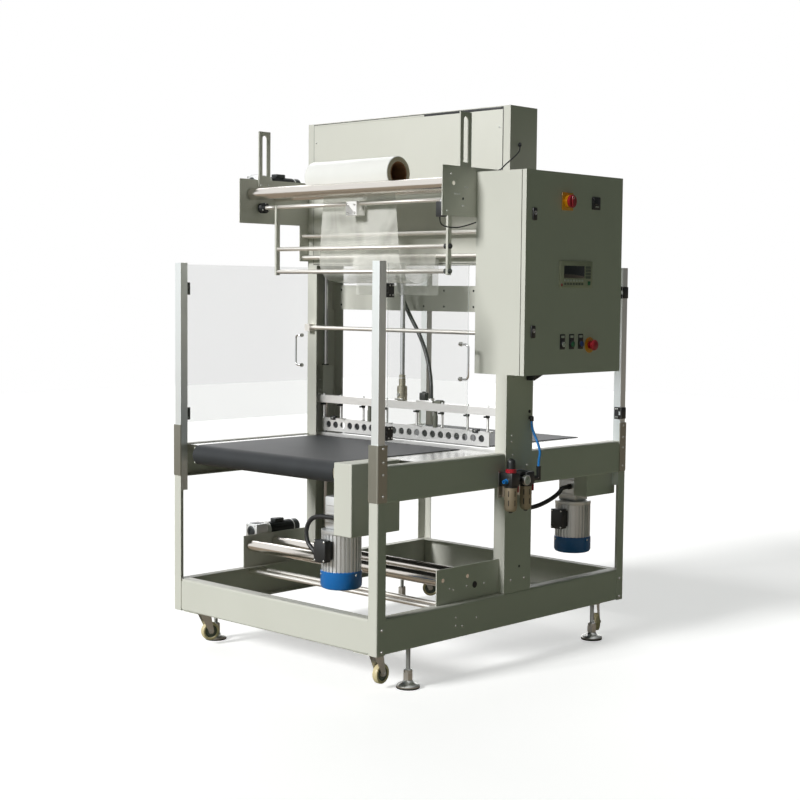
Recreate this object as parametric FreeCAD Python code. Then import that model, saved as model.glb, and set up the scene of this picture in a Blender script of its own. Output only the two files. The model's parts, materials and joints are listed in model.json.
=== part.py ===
import FreeCAD, Part
import math
import os

# Sleeve-type shrink wrapping machine for one operator: a low base of folded rails on levelling feet,
# corner posts with clear doors, two belts with a film sealing head between them, a film cradle
# high on a portal head, and a control cabinet on the operator's side.
# Millimetres, +Z up. While it is drawn, x runs along the belts from the infeed end, y runs from the
# operator's side to the rear and z is height above the floor. The saved pieces are moved so that the
# origin lies on the floor under the middle of the machine's box.

Vector = FreeCAD.Vector

# Base of four folded rails
LENGTH = 1500.0
WIDTH = 1154.0
BASE_BOTTOM = 150.0
BASE_HEIGHT = 130.0
BASE_FLANGE = 45.0
RAIL_SHEET = 3.0
RAIL_BEND = 8.0

# Corner angles, posts and their brackets
ANGLE_SHEET = 3.0
ANGLE_SIDE_LEG = 45.0
ANGLE_END_LEG = 43.0
ANGLE_BEND = 5.0
POST_SIZE = 36.0
POST_WALL = 2.5
POST_BOTTOM = 640.0
POST_TOP = 1556.0
BRACKET_SHEET = 3.0
BRACKET_LEG = 48.0
BRACKET_BOTTOM = 701.0
BRACKET_TOP = 906.0

# Rails at belt height and the bright side tables under their flanges
RAIL_TOP = 829.0
RAIL_HEIGHT = 132.0
RAIL_FLANGE = 40.0
TABLE_SHEET = 2.0
TABLE_LIP = 34.0
TABLE_GAP = 1.0

# Portal: two columns, the head across them and a cross plate
COLUMN_X = 705.0
COLUMN_WIDTH = 162.0
COLUMN_DEPTH = 55.0
COLUMN_SHEET = 4.0
HEAD_REAR_SETBACK = 31.0
HEAD_BOTTOM = 1557.0
HEAD_HEIGHT = 603.0
HEAD_SHEET = 3.0
CROSS_PLATE_DROP = 83.0
CROSS_PLATE_HEIGHT = 105.0
CROSS_PLATE_THICK = 4.0
CROSS_PLATE_SETBACK = 13.0

# Conveyors
ROLLER_RADIUS = 37.0
BELT_THICK = 3.0
BELT_CLEARANCE = 0.3
BELT_FRONT = 232.0
BELT_REAR_SETBACK = 118.0
BELT_GAP = 44.0
BED_THICK = 20.0
BED_ROLLER_GAP = 8.0
SIDE_PLATE_THICK = 6.0
SIDE_PLATE_GAP = 2.0
SIDE_PLATE_HEIGHT = 64.0
SIDE_PLATE_INSET = 15.0
JOURNAL_RADIUS = 10.0

# Conveyor drives
COVER_HEIGHT = 267.0
COVER_LENGTH = 254.0
COVER_DEPTH = 92.0
COVER_EDGE = 4.0
OUTFEED_COVER_LENGTH = 197.0
OUTFEED_COVER_Y = 50.0
OUTFEED_COVER_DEPTH = 70.0
OUTFEED_COVER_DROP = 229.0
GEARBOX_SIZE = 90.0
GEARBOX_HEIGHT = 128.0
GEARBOX_DROP = 139.0
INFEED_MOTOR_X = 115.0
INFEED_MOTOR_BEHIND = 75.0
OUTFEED_MOTOR_INSET = 103.0
OUTFEED_MOTOR_BEHIND = 75.0
MOTOR_RADIUS = 75.0
MOTOR_BODY_LENGTH = 150.0
FAN_CAP_LENGTH = 67.0
FAN_CAP_RADIUS = 78.0
FAN_CAP_BEND = 12.0
JUNCTION_DEPTH = 40.0
JUNCTION_WIDTH = 60.0
JUNCTION_HEIGHT = 84.0
JUNCTION_DROP = 26.0

# Sealing head, shown lowered
SEAL_FROM_COLUMN = 45.0
BAR_FRONT = 121.0
BAR_REAR_SETBACK = 50.0
BAR_ABOVE_BELT = 14.0
BAR_HEIGHT = 58.0
BAR_THICK = 5.0
BAR_HOLE_RADIUS = 14.5
BAR_HOLE_PITCH = 43.6
BAR_HOLE_MARGIN = 25.0
BAR_POST_OFFSETS = (85.0, 225.0, 361.0)
BAR_POST_INSET = 10.0
BAR_POST_RADIUS = 5.0
BAR_POST_HEIGHT = 66.0
BEAM_HEIGHT = 32.0
BEAM_WIDTH = 40.0
BEAM_END_GAP = 8.0
CARRIAGE_WIDTH = 60.0
CARRIAGE_DEPTH = 36.0
CARRIAGE_HEIGHT = 127.0
CARRIAGE_OVERLAP = 14.0
SHAFT_RADIUS = 10.0
SLIDE_CLEARANCE = 0.4
ROD_RADIUS = 10.0
ROD_END_ABOVE = 83.0
CLEVIS_RADIUS = 21.0
CLEVIS_HEIGHT = 62.0
CLEVIS_NECK_RADIUS = 15.0
CLEVIS_NECK_HEIGHT = 46.0
BARREL_RADIUS = 31.5
BARREL_BORE = 25.0
BARREL_LENGTH = 443.0
BARREL_CAP = 20.0
CYLINDER_PLATE_THICK = 10.0
CYLINDER_PLATE_LENGTH = 220.0
JAW_WIDTH = 24.0
JAW_ABOVE_BELT = 7.0
JAW_HEIGHT = 76.0

# Film cradle on the head, and the one in the base
CRADLE_SHEET = 4.0
CRADLE_REACH = 386.0
CRADLE_OVERLAP = 95.0
CRADLE_ABOVE = 170.0
CRADLE_HEIGHT = 183.0
CRADLE_LEG_REACH = 48.0
CRADLE_LEG_ABOVE = 18.0
ARM_WIDTH = 62.0
ARM_THICK = 6.0
ARM_OVERLAP = 30.0
ARM_HEIGHT = 200.0
ARM_SLOT_WIDTH = 26.0
ARM_SLOT_MARGIN = 16.0
FEED_ROLLER_RADIUS = 24.0
FEED_ROLLER_REACH = 325.0
FEED_ROLLER_SPACING = 140.0
FEED_ROLLER_DROP = 63.0
FEED_ROLLER_END_GAP = 5.0
FEED_JOURNAL_RADIUS = 8.0
JOURNAL_CLEARANCE = 0.3
LOWER_CRADLE_REACH = 360.0
LOWER_CRADLE_HEIGHT = 135.0
LOWER_ROLLER_ABOVE = 92.0
ROLL_RADIUS = 65.0
ROLL_CORE_RADIUS = 40.0
ROLL_FRONT = 342.0
ROLL_LENGTH = 462.0
ROLL_CLEARANCE = 0.3
FILM_ROD_RADIUS = 9.0
FILM_ROD_REACH = 29.0
FILM_RODS_ABOVE = (34.0, 125.0)
GUIDE_ROD_RADIUS = 9.0
GUIDE_RODS_REACH = (303.0, 243.0)
GUIDE_ROD_DROP = 22.0
GUARD_TUBE_REACH = 15.0
GUARD_TUBE_DROP = 266.0
GUARD_TUBE_RADIUS = 8.5
TUBE_CLAMP_SIZE = 30.0

# Dancer frame that hangs in the film loop
DANCER_REACH = 272.0
DANCER_PIVOT_ABOVE = 235.0
DANCER_PIVOT_RADIUS = 8.0
DANCER_ARM_FRONT = 65.0
DANCER_ARM_REAR_SETBACK = 105.0
DANCER_ARM_WIDTH = 20.0
DANCER_ARM_THICK = 10.0
DANCER_ARM_LENGTH = 280.0
DANCER_ROD_RADIUS = 8.5
DANCER_ROD_DROPS = (266.0, 173.0)
DANCER_END_GAP = 0.3
DANCER_BLOCK_Y = 560.0
DANCER_BLOCK_LENGTH = 60.0
DANCER_BLOCK_SIZE = 46.0
DANCER_BEARING_RADIUS = 22.0
DANCER_BEARING_LENGTH = 25.0
DANCER_PIN_RADIUS = 5.0

# Film feed gearmotors outside the rear plates
FEED_GEARBOX_SIZE = 64.0
FEED_GEARBOX_DEPTH = 70.0
FEED_MOTOR_RADIUS = 31.0
FEED_MOTOR_LENGTH = 170.0
FEED_FLANGE_RADIUS = 34.0
FEED_FLANGE_LENGTH = 24.0
UPPER_GEARBOX_DROP = 12.0
LOWER_GEARBOX_ABOVE = 8.0

# Film web between roll and film rods
WEB_THICK = 1.0
WEB_BEHIND_DANCER = 31.0
WEB_GAP = 0.3
WEB_LOOP_DROP = 76.0
WEB_TAIL = 157.0

# Control cabinet
CABINET_REACH = 196.0
CABINET_WIDTH = 595.0
CABINET_BOTTOM = 1146.0
CABINET_HEIGHT = 749.0
CABINET_BACK = 4.0
CABINET_DEPTH = 215.0
CABINET_DOOR_THICK = 19.0
CABINET_SEAM = 3.0
CABINET_HINGE_RADIUS = 4.0
CABINET_HINGE_LENGTH = 50.0
CABINET_HINGE_OUT = 5.0
CABINET_HINGE_LEAF = 2.0
CABINET_HINGE_REACH = 14.0
CABINET_HINGE_INSET = 100.0

# Devices on the cabinet door, placed from its infeed edge and from its top or bottom
PANEL_ACROSS = 300.0
PANEL_DOWN = 376.0
PANEL_WIDTH = 200.0
PANEL_HEIGHT = 100.0
PANEL_THICK = 6.0
SWITCH_ACROSS = 241.0
SWITCH_DOWN = 106.0
SWITCH_PLATE = 66.0
SWITCH_PLATE_THICK = 5.0
KNOB_RADIUS = 24.0
KNOB_LENGTH = 27.0
KNOB_GAP = 0.3
METER_ACROSS = 419.0
METER_DOWN = 105.0
METER_WIDTH = 48.0
METER_THICK = 8.0
BUTTONS_ACROSS = (226.0, 282.0, 338.0)
BUTTON_UP = 111.0
BUTTON_RADIUS = 14.0
BUTTON_LENGTH = 11.0
STOP_ACROSS = 395.0
STOP_UP = 106.0
STOP_RING_RADIUS = 30.0
STOP_RING_THICK = 3.0
STOP_NECK_RADIUS = 11.0
STOP_HEAD_RADIUS = 20.0
STOP_LENGTH = 30.0
LATCH_ACROSS = 47.0
LATCH_INSET = 160.0
LATCH_WIDTH = 24.0
LATCH_HEIGHT = 46.0
LATCH_THICK = 7.0

# Compressed air unit on the front column
AIR_REACH = 21.0
AIR_SPACING = 91.0
AIR_Y = 45.0
AIR_BODY_SIZE = 50.0
AIR_BODY_DROP = 67.0
AIR_BODY_HEIGHT = 67.0
AIR_KNOB_RADIUS = 17.0
AIR_KNOB_HEIGHT = 53.0
AIR_BOWL_RADIUS = 21.0
AIR_BOWL_LENGTH = 90.0
AIR_BRACKET_THICK = 4.0
AIR_ELBOW_REACH = 78.0
AIR_ELBOW_RISE = 44.5
AIR_ELBOW_RADIUS = 9.0
AIR_PIPE_RADIUS = 6.5
AIR_INLET_INSET = 20.0
AIR_INLET_ABOVE = 119.0
AIR_INLET_OUT = 12.0
AIR_INLET_RADIUS = 8.0
AIR_INLET_HEIGHT = 20.0

# Clear doors on the corner posts
DOOR_ABOVE_BRACKET = 6.0
DOOR_BELOW_POST = 6.0
DOOR_THICK = 5.0
DOOR_X = 52.0
FRONT_DOOR_CLEARANCE = 23.0
REAR_DOOR_OVERLAP = 30.0
LOW_HINGE_UP = 34.0
HIGH_HINGE_DOWN = 97.0
HINGE_LENGTH = 50.0
HINGE_RADIUS = 5.0
HINGE_PIN_RADIUS = 2.0
HINGE_PIN_CLEARANCE = 0.3
HINGE_LEAF = 3.0
HINGE_LEAF_WIDTH = 26.0
HINGE_AXIS_OUT = 6.0
HINGE_GAP = 1.0
HANDLE_RADIUS = 4.5
HANDLE_SPAN = 130.0
HANDLE_STAND = 36.0
HANDLE_BEND = 14.0
HANDLE_EDGE = 43.0
HANDLE_UP = 279.0

# Levelling feet and casters
FOOT_FIRST_X = 195.0
FOOT_LAST_INSET = 180.0
FOOT_INSET = 28.0
FOOT_PAD_RADIUS = 44.0
FOOT_PAD_THICK = 16.0
FOOT_PAD_EDGE = 4.0
FOOT_DOME_HEIGHT = 14.0
FOOT_STEM_RADIUS = 9.0
FOOT_SLEEVE_RADIUS = 18.0
FOOT_SLEEVE_HEIGHT = 42.0
CASTER_INSET = 85.0
CASTER_PLATE_SIZE = 92.0
CASTER_PLATE_THICK = 4.0
CASTER_RACE_RADIUS = 27.0
CASTER_RACE_HEIGHT = 14.0
CASTER_RACE_GAP = 0.3
CASTER_WHEEL_RADIUS = 37.5
CASTER_WHEEL_WIDTH = 24.0
CASTER_TRAIL = 28.0
CASTER_HEIGHT = 130.0
CASTER_FORK_SHEET = 3.0
CASTER_FORK_WIDTH = 40.0
CASTER_SIDE_GAP = 1.5
CASTER_AXLE_RADIUS = 4.0
CASTER_AXLE_CLEARANCE = 0.3
CASTER_WHEEL_EDGE = 4.0
FORK_BRIDGE_BACK = 4.0
FORK_TIP_DROP = 9.0
FORK_TIP_FRONT = 8.0
FORK_TIP_BACK = 10.0
FORK_TIP_CHAMFER = 4.0
CASTER_TURNS = (5.0, 230.0, 345.0, 315.0)

# Limit switch on the front cradle plate, which the dancer frame reaches when the film is pulled
LIMIT_SWITCH_REACH = 380.0
LIMIT_SWITCH_WIDTH = 26.0
LIMIT_SWITCH_DEPTH = 36.0
LIMIT_SWITCH_BOTTOM_DROP = 5.0
LIMIT_SWITCH_HEIGHT = 68.0

# Glands of the conduits and cables
CONDUIT_RADIUS = 9.0
CABLE_RADIUS = 2.5
AIR_HOSE_RADIUS = 5.0
ARC_SHARE = 0.45
GLAND_RADIUS = 13.0
GLAND_LENGTH = 12.0
SLANTED_GLAND_LENGTH = 18.0
SLANTED_GLAND_TILT = 30.0
CABLE_GLAND_RADIUS = 7.0
CABLE_GLAND_LENGTH = 15.0
BEAM_GLAND_HEIGHT = 17.0
CONDUIT_ABOVE_JUNCTION = 26.0
INFEED_CONDUIT_DROP = 207.0
OUTFEED_CONDUIT_Y = (34.0, 178.0)
OUTFEED_CONDUIT_DROPS = (233.0, 201.0)
SEALING_CONDUIT_BEHIND_BAR = 40.0
SEALING_CONDUIT_Y = 73.0
SEALING_CONDUIT_FOOT = (7.0, -157.0)
HEAD_CABLE_ACROSS = 57.0
HEAD_CABLE_ABOVE = 460.0
HEAD_CABLE_TILT = Vector(-0.6, -0.55, -0.58)
CABINET_CABLE_ACROSS = 81.0
CABINET_CABLE_BEHIND = 34.0
CABINET_CABLE_TILT = Vector(0.75, -0.05, 0.66)
SENSOR_CABLE_Y = (25.0, 29.0)
SENSOR_CABLE_ABOVE = 174.0

# Routes of the conduits, the hose and the cables, point by point as they hang
INFEED_CONDUIT = (
    (20, 236, 622), (20, 275, 622), (20, 322, 620), (20, 363, 608), (20, 388.6, 572.6),
    (20, 388.6, 530.9), (20, 372.5, 503.108), (20, 344.6, 487),
)
OUTFEED_CONDUIT = (
    (879, 34, 596), (940, 34, 596), (1045, 58, 606), (1148, 96, 615), (1236, 140, 622),
    (1294, 178, 628), (1340, 178, 628),
)
SEALING_CONDUIT = (
    (790, 670, 1545), (790, 670, 1500), (790, 640, 1425), (790, 596, 1352), (790, 545, 1283),
    (785, 498, 1206), (772, 461, 1122), (757, 440, 1062), (757, 440, 1016),
)
AIR_HOSE = (
    (847, -12, 948), (847, -12, 925), (850, -24, 895), (851, -42, 862), (853, -53, 826),
    (853, -45, 797), (853, -45, 773),
)
HEAD_CABLE = (
    (752.4, -8.8, 2007.7), (734.4, -25.3, 1990.3), (697, -39, 1969), (657, -43, 1946),
    (620, -40, 1921.36), (600.5, -38.7, 1904.2),
)
SENSOR_CABLE = (
    (338, 25, 1722), (338, 25, 1702), (360, 26, 1690), (402, 28, 1686), (452, 29, 1688),
    (510, 29, 1701), (575, 29, 1719), (640, 29, 1731), (690, 29, 1731),
)

BASE_TOP = BASE_BOTTOM + BASE_HEIGHT
RAIL_BOTTOM = RAIL_TOP - RAIL_HEIGHT
BELT_REAR = WIDTH - BELT_REAR_SETBACK
COLUMN_END = COLUMN_X + COLUMN_WIDTH
COLUMN_MIDDLE = COLUMN_X + COLUMN_WIDTH / 2.0
HEAD_DEPTH = WIDTH - HEAD_REAR_SETBACK
HEAD_TOP = HEAD_BOTTOM + HEAD_HEIGHT
SEAL_X = COLUMN_X + SEAL_FROM_COLUMN
BAR_REAR = HEAD_DEPTH - BAR_REAR_SETBACK
BAR_BOTTOM = RAIL_TOP + BAR_ABOVE_BELT
SEAL_CENTRE_Y = (BAR_FRONT + BAR_REAR) / 2.0
BEAM_BOTTOM = BAR_BOTTOM + BAR_HEIGHT + BAR_POST_HEIGHT
CRADLE_BOTTOM = HEAD_BOTTOM + CRADLE_ABOVE
CRADLE_TOP = CRADLE_BOTTOM + CRADLE_HEIGHT
CRADLE_REAR = HEAD_DEPTH + CRADLE_SHEET
LOWER_CRADLE_INSET = WIDTH - CRADLE_REAR
LOWER_CRADLE_TOP = BASE_TOP + LOWER_CRADLE_HEIGHT
ARM_TOP = CRADLE_TOP + ARM_HEIGHT
FEED_ROLLER_FIRST_X = COLUMN_X - FEED_ROLLER_REACH
FEED_ROLLER_X = (FEED_ROLLER_FIRST_X, FEED_ROLLER_FIRST_X + FEED_ROLLER_SPACING)
FEED_ROLLER_MIDDLE_X = FEED_ROLLER_FIRST_X + FEED_ROLLER_SPACING / 2.0
FEED_ROLLER_Z = CRADLE_TOP - FEED_ROLLER_DROP
LOWER_ROLLER_Z = BASE_TOP + LOWER_ROLLER_ABOVE
FILM_ROD_X = COLUMN_X - FILM_ROD_REACH
FILM_ROD_HEIGHTS = tuple(HEAD_BOTTOM + above for above in FILM_RODS_ABOVE)
GUARD_TUBE_X = COLUMN_X - GUARD_TUBE_REACH
GUARD_TUBE_Z = HEAD_BOTTOM - GUARD_TUBE_DROP
DANCER_X = COLUMN_X - DANCER_REACH
DANCER_PIVOT_Z = HEAD_BOTTOM + DANCER_PIVOT_ABOVE
DANCER_ARM_Y = (DANCER_ARM_FRONT, HEAD_DEPTH - DANCER_ARM_REAR_SETBACK)
CABINET_X = COLUMN_X - CABINET_REACH
CABINET_END = CABINET_X + CABINET_WIDTH
CABINET_TOP = CABINET_BOTTOM + CABINET_HEIGHT
CABINET_FRONT = -(CABINET_BACK + CABINET_DEPTH + CABINET_SEAM + CABINET_DOOR_THICK)
CABINET_DOOR_BACK = CABINET_FRONT + CABINET_DOOR_THICK
CABINET_HINGE_HEIGHTS = (CABINET_BOTTOM + CABINET_HINGE_INSET, CABINET_TOP - CABINET_HINGE_INSET)
AIR_BODY_TOP = RAIL_TOP - AIR_BODY_DROP
AIR_BODY_BOTTOM = AIR_BODY_TOP - AIR_BODY_HEIGHT
AIR_PORT_Z = (AIR_BODY_BOTTOM + AIR_BODY_TOP) / 2.0
AIR_FIRST_X = COLUMN_X - AIR_REACH
AIR_SECOND_X = AIR_FIRST_X + AIR_SPACING
AIR_ELBOW = Vector(AIR_SECOND_X + AIR_ELBOW_REACH, -AIR_Y, AIR_PORT_Z + AIR_ELBOW_RISE)
AIR_INLET = Vector(COLUMN_END - AIR_INLET_INSET, -AIR_INLET_OUT, RAIL_TOP + AIR_INLET_ABOVE)
DOOR_BOTTOM = BRACKET_TOP + DOOR_ABOVE_BRACKET
DOOR_TOP = POST_TOP - DOOR_BELOW_POST
FRONT_DOOR_END = CABINET_X - FRONT_DOOR_CLEARANCE
REAR_DOOR_END = COLUMN_X + REAR_DOOR_OVERLAP
HINGE_HEIGHTS = (DOOR_BOTTOM + LOW_HINGE_UP, DOOR_TOP - HIGH_HINGE_DOWN)
HANDLE_Z = DOOR_BOTTOM + HANDLE_UP
INFEED_BELT_END = SEAL_X - BELT_GAP / 2.0
OUTFEED_BELT_START = SEAL_X + BELT_GAP / 2.0
REAR_REACH = CRADLE_REAR + FEED_GEARBOX_DEPTH
FRONT_REACH = CABINET_FRONT - STOP_RING_THICK - STOP_LENGTH
ORIGIN = Vector(LENGTH / 2.0, (REAR_REACH + FRONT_REACH) / 2.0, 0.0)


def box(x0, x1, y0, y1, z0, z1):
    return Part.makeBox(x1 - x0, y1 - y0, z1 - z0, Vector(x0, y0, z0))


def upright(x, y, z0, z1, radius):
    return Part.makeCylinder(radius, z1 - z0, Vector(x, y, z0), Vector(0, 0, 1))


def crosswise(x, z, y0, y1, radius):
    return Part.makeCylinder(radius, y1 - y0, Vector(x, y0, z), Vector(0, 1, 0))


def lengthwise(y, z, x0, x1, radius):
    return Part.makeCylinder(radius, x1 - x0, Vector(x0, y, z), Vector(1, 0, 0))


def fused(shapes):
    return shapes[0].multiFuse(shapes[1:]).removeSplitter()


def mirrored(shape, middle_y):
    return shape.mirror(Vector(0, middle_y, 0), Vector(0, 1, 0))


def mirrored_x(shape, middle_x):
    return shape.mirror(Vector(middle_x, 0, 0), Vector(1, 0, 0))


def rounded(shape, radius, chosen):
    edges = [edge for edge in shape.Edges if chosen(edge)]
    return shape.makeFillet(radius, edges)


def edge_middle(edge):
    return edge.valueAt((edge.FirstParameter + edge.LastParameter) / 2.0)


def save(node, *shapes):
    placed = [shape.translated(ORIGIN.negative()) for shape in shapes]
    whole = placed[0] if len(placed) == 1 else Part.makeCompound(placed)
    whole.exportStep("parts/" + node + ".step")


def rail(length, height, flange, sheet, bend):
    """A folded C rail along x from 0, its web at y = 0, its flanges towards +y, its foot at z = 0."""
    outside = box(0, length, 0, flange, 0, height)
    inside = box(0, length, sheet, flange + sheet, sheet, height - sheet)
    outside = rounded(outside, bend, lambda e: abs(edge_middle(e).y) < 0.01 and abs(e.tangentAt(0).x) > 0.9)
    inner_bend = bend - sheet
    inside = rounded(inside, inner_bend,
                     lambda e: abs(edge_middle(e).y - sheet) < 0.01 and abs(e.tangentAt(0).x) > 0.9)
    return outside.cut(inside)


def base_rails():
    side_length = LENGTH - 2 * ANGLE_BEND
    front = rail(side_length, BASE_HEIGHT, BASE_FLANGE, RAIL_SHEET, RAIL_BEND)
    front.translate(Vector(ANGLE_BEND, ANGLE_SHEET, BASE_BOTTOM))
    save("base_side_rails", front, mirrored(front, WIDTH / 2.0))
    flange_tip = ANGLE_SHEET + BASE_FLANGE
    end_length = WIDTH - 2 * flange_tip
    end = rail(end_length, BASE_HEIGHT, BASE_FLANGE, RAIL_SHEET, RAIL_BEND)
    end.rotate(Vector(0, 0, 0), Vector(0, 0, 1), -90)
    end.translate(Vector(ANGLE_SHEET, WIDTH - flange_tip, BASE_BOTTOM))
    tongue_start = ANGLE_SHEET + RAIL_BEND
    tongue = box(ANGLE_SHEET, ANGLE_SHEET + RAIL_SHEET, tongue_start, flange_tip,
                 BASE_BOTTOM + RAIL_BEND, BASE_TOP - RAIL_BEND)
    plate_low = BASE_BOTTOM - CASTER_PLATE_THICK
    plate_reach = CASTER_INSET + CASTER_PLATE_SIZE / 2.0
    plate_start = CASTER_INSET - CASTER_PLATE_SIZE / 2.0
    plate = box(plate_start, plate_reach, plate_start, plate_reach, plate_low, BASE_BOTTOM)
    reach = box(ANGLE_SHEET + RAIL_BEND, plate_reach, flange_tip, plate_reach, plate_low, BASE_BOTTOM)
    corner = fused([tongue, plate, reach])
    infeed = fused([end, corner, mirrored(corner, WIDTH / 2.0)])
    save("base_end_rails", infeed, mirrored_x(infeed, LENGTH / 2.0))


def at_four_corners(shape):
    rear = mirrored(shape, WIDTH / 2.0)
    return [shape, rear, mirrored_x(shape, LENGTH / 2.0), mirrored_x(rear, LENGTH / 2.0)]


def folded_angle(side_leg, end_leg, sheet, bend, z0, z1):
    """An upright angle with its outer corner at x = 0, y = 0."""
    outside = box(0, side_leg, 0, end_leg, z0, z1)
    outside = rounded(outside, bend, lambda e: edge_middle(e).x < 0.01 and edge_middle(e).y < 0.01)
    inside = box(sheet, side_leg + sheet, sheet, end_leg + sheet, z0, z1)
    inside = rounded(inside, bend - sheet,
                     lambda e: edge_middle(e).x < sheet + 0.01 and edge_middle(e).y < sheet + 0.01)
    return outside.cut(inside)


def corner_pieces():
    angle = folded_angle(ANGLE_SIDE_LEG, ANGLE_END_LEG, ANGLE_SHEET, ANGLE_BEND, BASE_BOTTOM, BRACKET_TOP)
    save("corner_angles", *at_four_corners(angle))
    near = ANGLE_SHEET
    far = ANGLE_SHEET + POST_SIZE
    post = box(near, far, near, far, POST_BOTTOM, POST_TOP)
    post = rounded(post, ANGLE_BEND - ANGLE_SHEET, lambda e: abs(e.tangentAt(0).z) > 0.9)
    hollow = box(near + POST_WALL, far - POST_WALL, near + POST_WALL, far - POST_WALL,
                 POST_BOTTOM, POST_TOP - POST_WALL)
    save("guard_posts", *at_four_corners(post.cut(hollow)))
    bracket = folded_angle(BRACKET_LEG, BRACKET_LEG, BRACKET_SHEET, ANGLE_BEND + BRACKET_SHEET,
                           BRACKET_BOTTOM, BRACKET_TOP)
    bracket.translate(Vector(-BRACKET_SHEET, -BRACKET_SHEET, 0))
    save("post_brackets", *at_four_corners(bracket))


def belt_height_rails():
    start = ANGLE_SHEET + POST_SIZE
    first = rail(COLUMN_X - start, RAIL_HEIGHT, RAIL_FLANGE, RAIL_SHEET, RAIL_BEND)
    first.translate(Vector(start, ANGLE_SHEET, RAIL_BOTTOM))
    second = rail(LENGTH - start - COLUMN_END, RAIL_HEIGHT, RAIL_FLANGE, RAIL_SHEET, RAIL_BEND)
    second.translate(Vector(COLUMN_END, ANGLE_SHEET, RAIL_BOTTOM))
    save("mid_rails", first, second, mirrored(first, WIDTH / 2.0), mirrored(second, WIDTH / 2.0))


def side_table(x0, x1, rail_side, plate_side):
    """A folded bright sheet under the rail's flange at one side, lipped against the belt's side plate."""
    top = RAIL_TOP - RAIL_SHEET
    low, high = sorted((rail_side, plate_side))
    lip_edge = plate_side - math.copysign(TABLE_SHEET, plate_side - rail_side)
    lip_low, lip_high = sorted((plate_side, lip_edge))
    sheet = box(x0, x1, low, high, top - TABLE_SHEET, top)
    lip = box(x0, x1, lip_low, lip_high, top - TABLE_LIP, top)
    return fused([sheet, lip])


def side_tables():
    rail_inside = ANGLE_SHEET + RAIL_BEND + TABLE_GAP
    front_plate = BELT_FRONT - SIDE_PLATE_GAP - SIDE_PLATE_THICK
    rear_plate = BELT_REAR + SIDE_PLATE_GAP + SIDE_PLATE_THICK
    column_inside = COLUMN_DEPTH
    rear_column = HEAD_DEPTH - COLUMN_DEPTH
    post_end = ANGLE_SHEET + POST_SIZE
    notch_front = box(COLUMN_X, COLUMN_END, 0, column_inside, 0, RAIL_TOP)
    notch_rear = box(COLUMN_X, COLUMN_END, rear_column, WIDTH, 0, RAIL_TOP)
    pieces = [
        side_table(COVER_LENGTH, INFEED_BELT_END, rail_inside, front_plate).cut(notch_front),
        side_table(OUTFEED_BELT_START, LENGTH - post_end, rail_inside, front_plate).cut(notch_front),
        side_table(post_end, INFEED_BELT_END, WIDTH - rail_inside, rear_plate).cut(notch_rear),
        side_table(OUTFEED_BELT_START, LENGTH - post_end, WIDTH - rail_inside, rear_plate).cut(notch_rear),
    ]
    save("side_tables", *pieces)


def column():
    outside = box(COLUMN_X, COLUMN_END, 0, COLUMN_DEPTH, BASE_TOP, HEAD_BOTTOM)
    inside = box(COLUMN_X + COLUMN_SHEET, COLUMN_END - COLUMN_SHEET, COLUMN_SHEET, COLUMN_DEPTH,
                 BASE_TOP, HEAD_BOTTOM)
    return outside.cut(inside)


def portal():
    front = column()
    save("columns", front, mirrored(front, HEAD_DEPTH / 2.0))
    outside = box(COLUMN_X, COLUMN_END, 0, HEAD_DEPTH, HEAD_BOTTOM, HEAD_TOP)
    inside = box(COLUMN_X + HEAD_SHEET, COLUMN_END - HEAD_SHEET, HEAD_SHEET, HEAD_DEPTH - HEAD_SHEET,
                 HEAD_BOTTOM, HEAD_TOP - HEAD_SHEET)
    save("head_housing", outside.cut(inside))
    plate_x = COLUMN_END - CROSS_PLATE_SETBACK
    plate = box(plate_x - CROSS_PLATE_THICK, plate_x, COLUMN_SHEET, HEAD_DEPTH - COLUMN_SHEET,
                HEAD_BOTTOM - CROSS_PLATE_DROP - CROSS_PLATE_HEIGHT, HEAD_BOTTOM - CROSS_PLATE_DROP)
    save("cross_plate", plate)
    shaft_y = COLUMN_DEPTH / 2.0
    front_shaft = upright(COLUMN_MIDDLE, shaft_y, BASE_TOP, HEAD_BOTTOM, SHAFT_RADIUS)
    save("guide_shafts", front_shaft, mirrored(front_shaft, HEAD_DEPTH / 2.0))
    jaw_top = RAIL_TOP + JAW_ABOVE_BELT
    jaw = box(SEAL_X - JAW_WIDTH / 2.0, SEAL_X + JAW_WIDTH / 2.0, COLUMN_SHEET, HEAD_DEPTH - COLUMN_SHEET,
              jaw_top - JAW_HEIGHT, jaw_top)
    save("lower_jaw", jaw)


def lift_cylinder():
    plate = box(COLUMN_X + HEAD_SHEET, COLUMN_END - HEAD_SHEET,
                SEAL_CENTRE_Y - CYLINDER_PLATE_LENGTH / 2.0, SEAL_CENTRE_Y + CYLINDER_PLATE_LENGTH / 2.0,
                HEAD_BOTTOM, HEAD_BOTTOM + CYLINDER_PLATE_THICK)
    barrel_bottom = HEAD_BOTTOM + CYLINDER_PLATE_THICK
    barrel_top = barrel_bottom + BARREL_LENGTH
    barrel = upright(SEAL_X, SEAL_CENTRE_Y, barrel_bottom, barrel_top, BARREL_RADIUS)
    bore = upright(SEAL_X, SEAL_CENTRE_Y, barrel_bottom + BARREL_CAP, barrel_top - BARREL_CAP, BARREL_BORE)
    rod_hole = upright(SEAL_X, SEAL_CENTRE_Y, HEAD_BOTTOM, barrel_bottom + BARREL_CAP,
                       ROD_RADIUS + SLIDE_CLEARANCE)
    save("lift_cylinder", fused([plate, barrel]).cut(bore).cut(rod_hole))


def stadium(x0, x1, z0, z1, y0, y1):
    """A bar with round ends along x, as wide as y0 to y1."""
    radius = (z1 - z0) / 2.0
    middle = box(x0 + radius, x1 - radius, y0, y1, z0, z1)
    first = crosswise(x0 + radius, z0 + radius, y0, y1, radius)
    last = crosswise(x1 - radius, z0 + radius, y0, y1, radius)
    return fused([middle, first, last])


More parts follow.
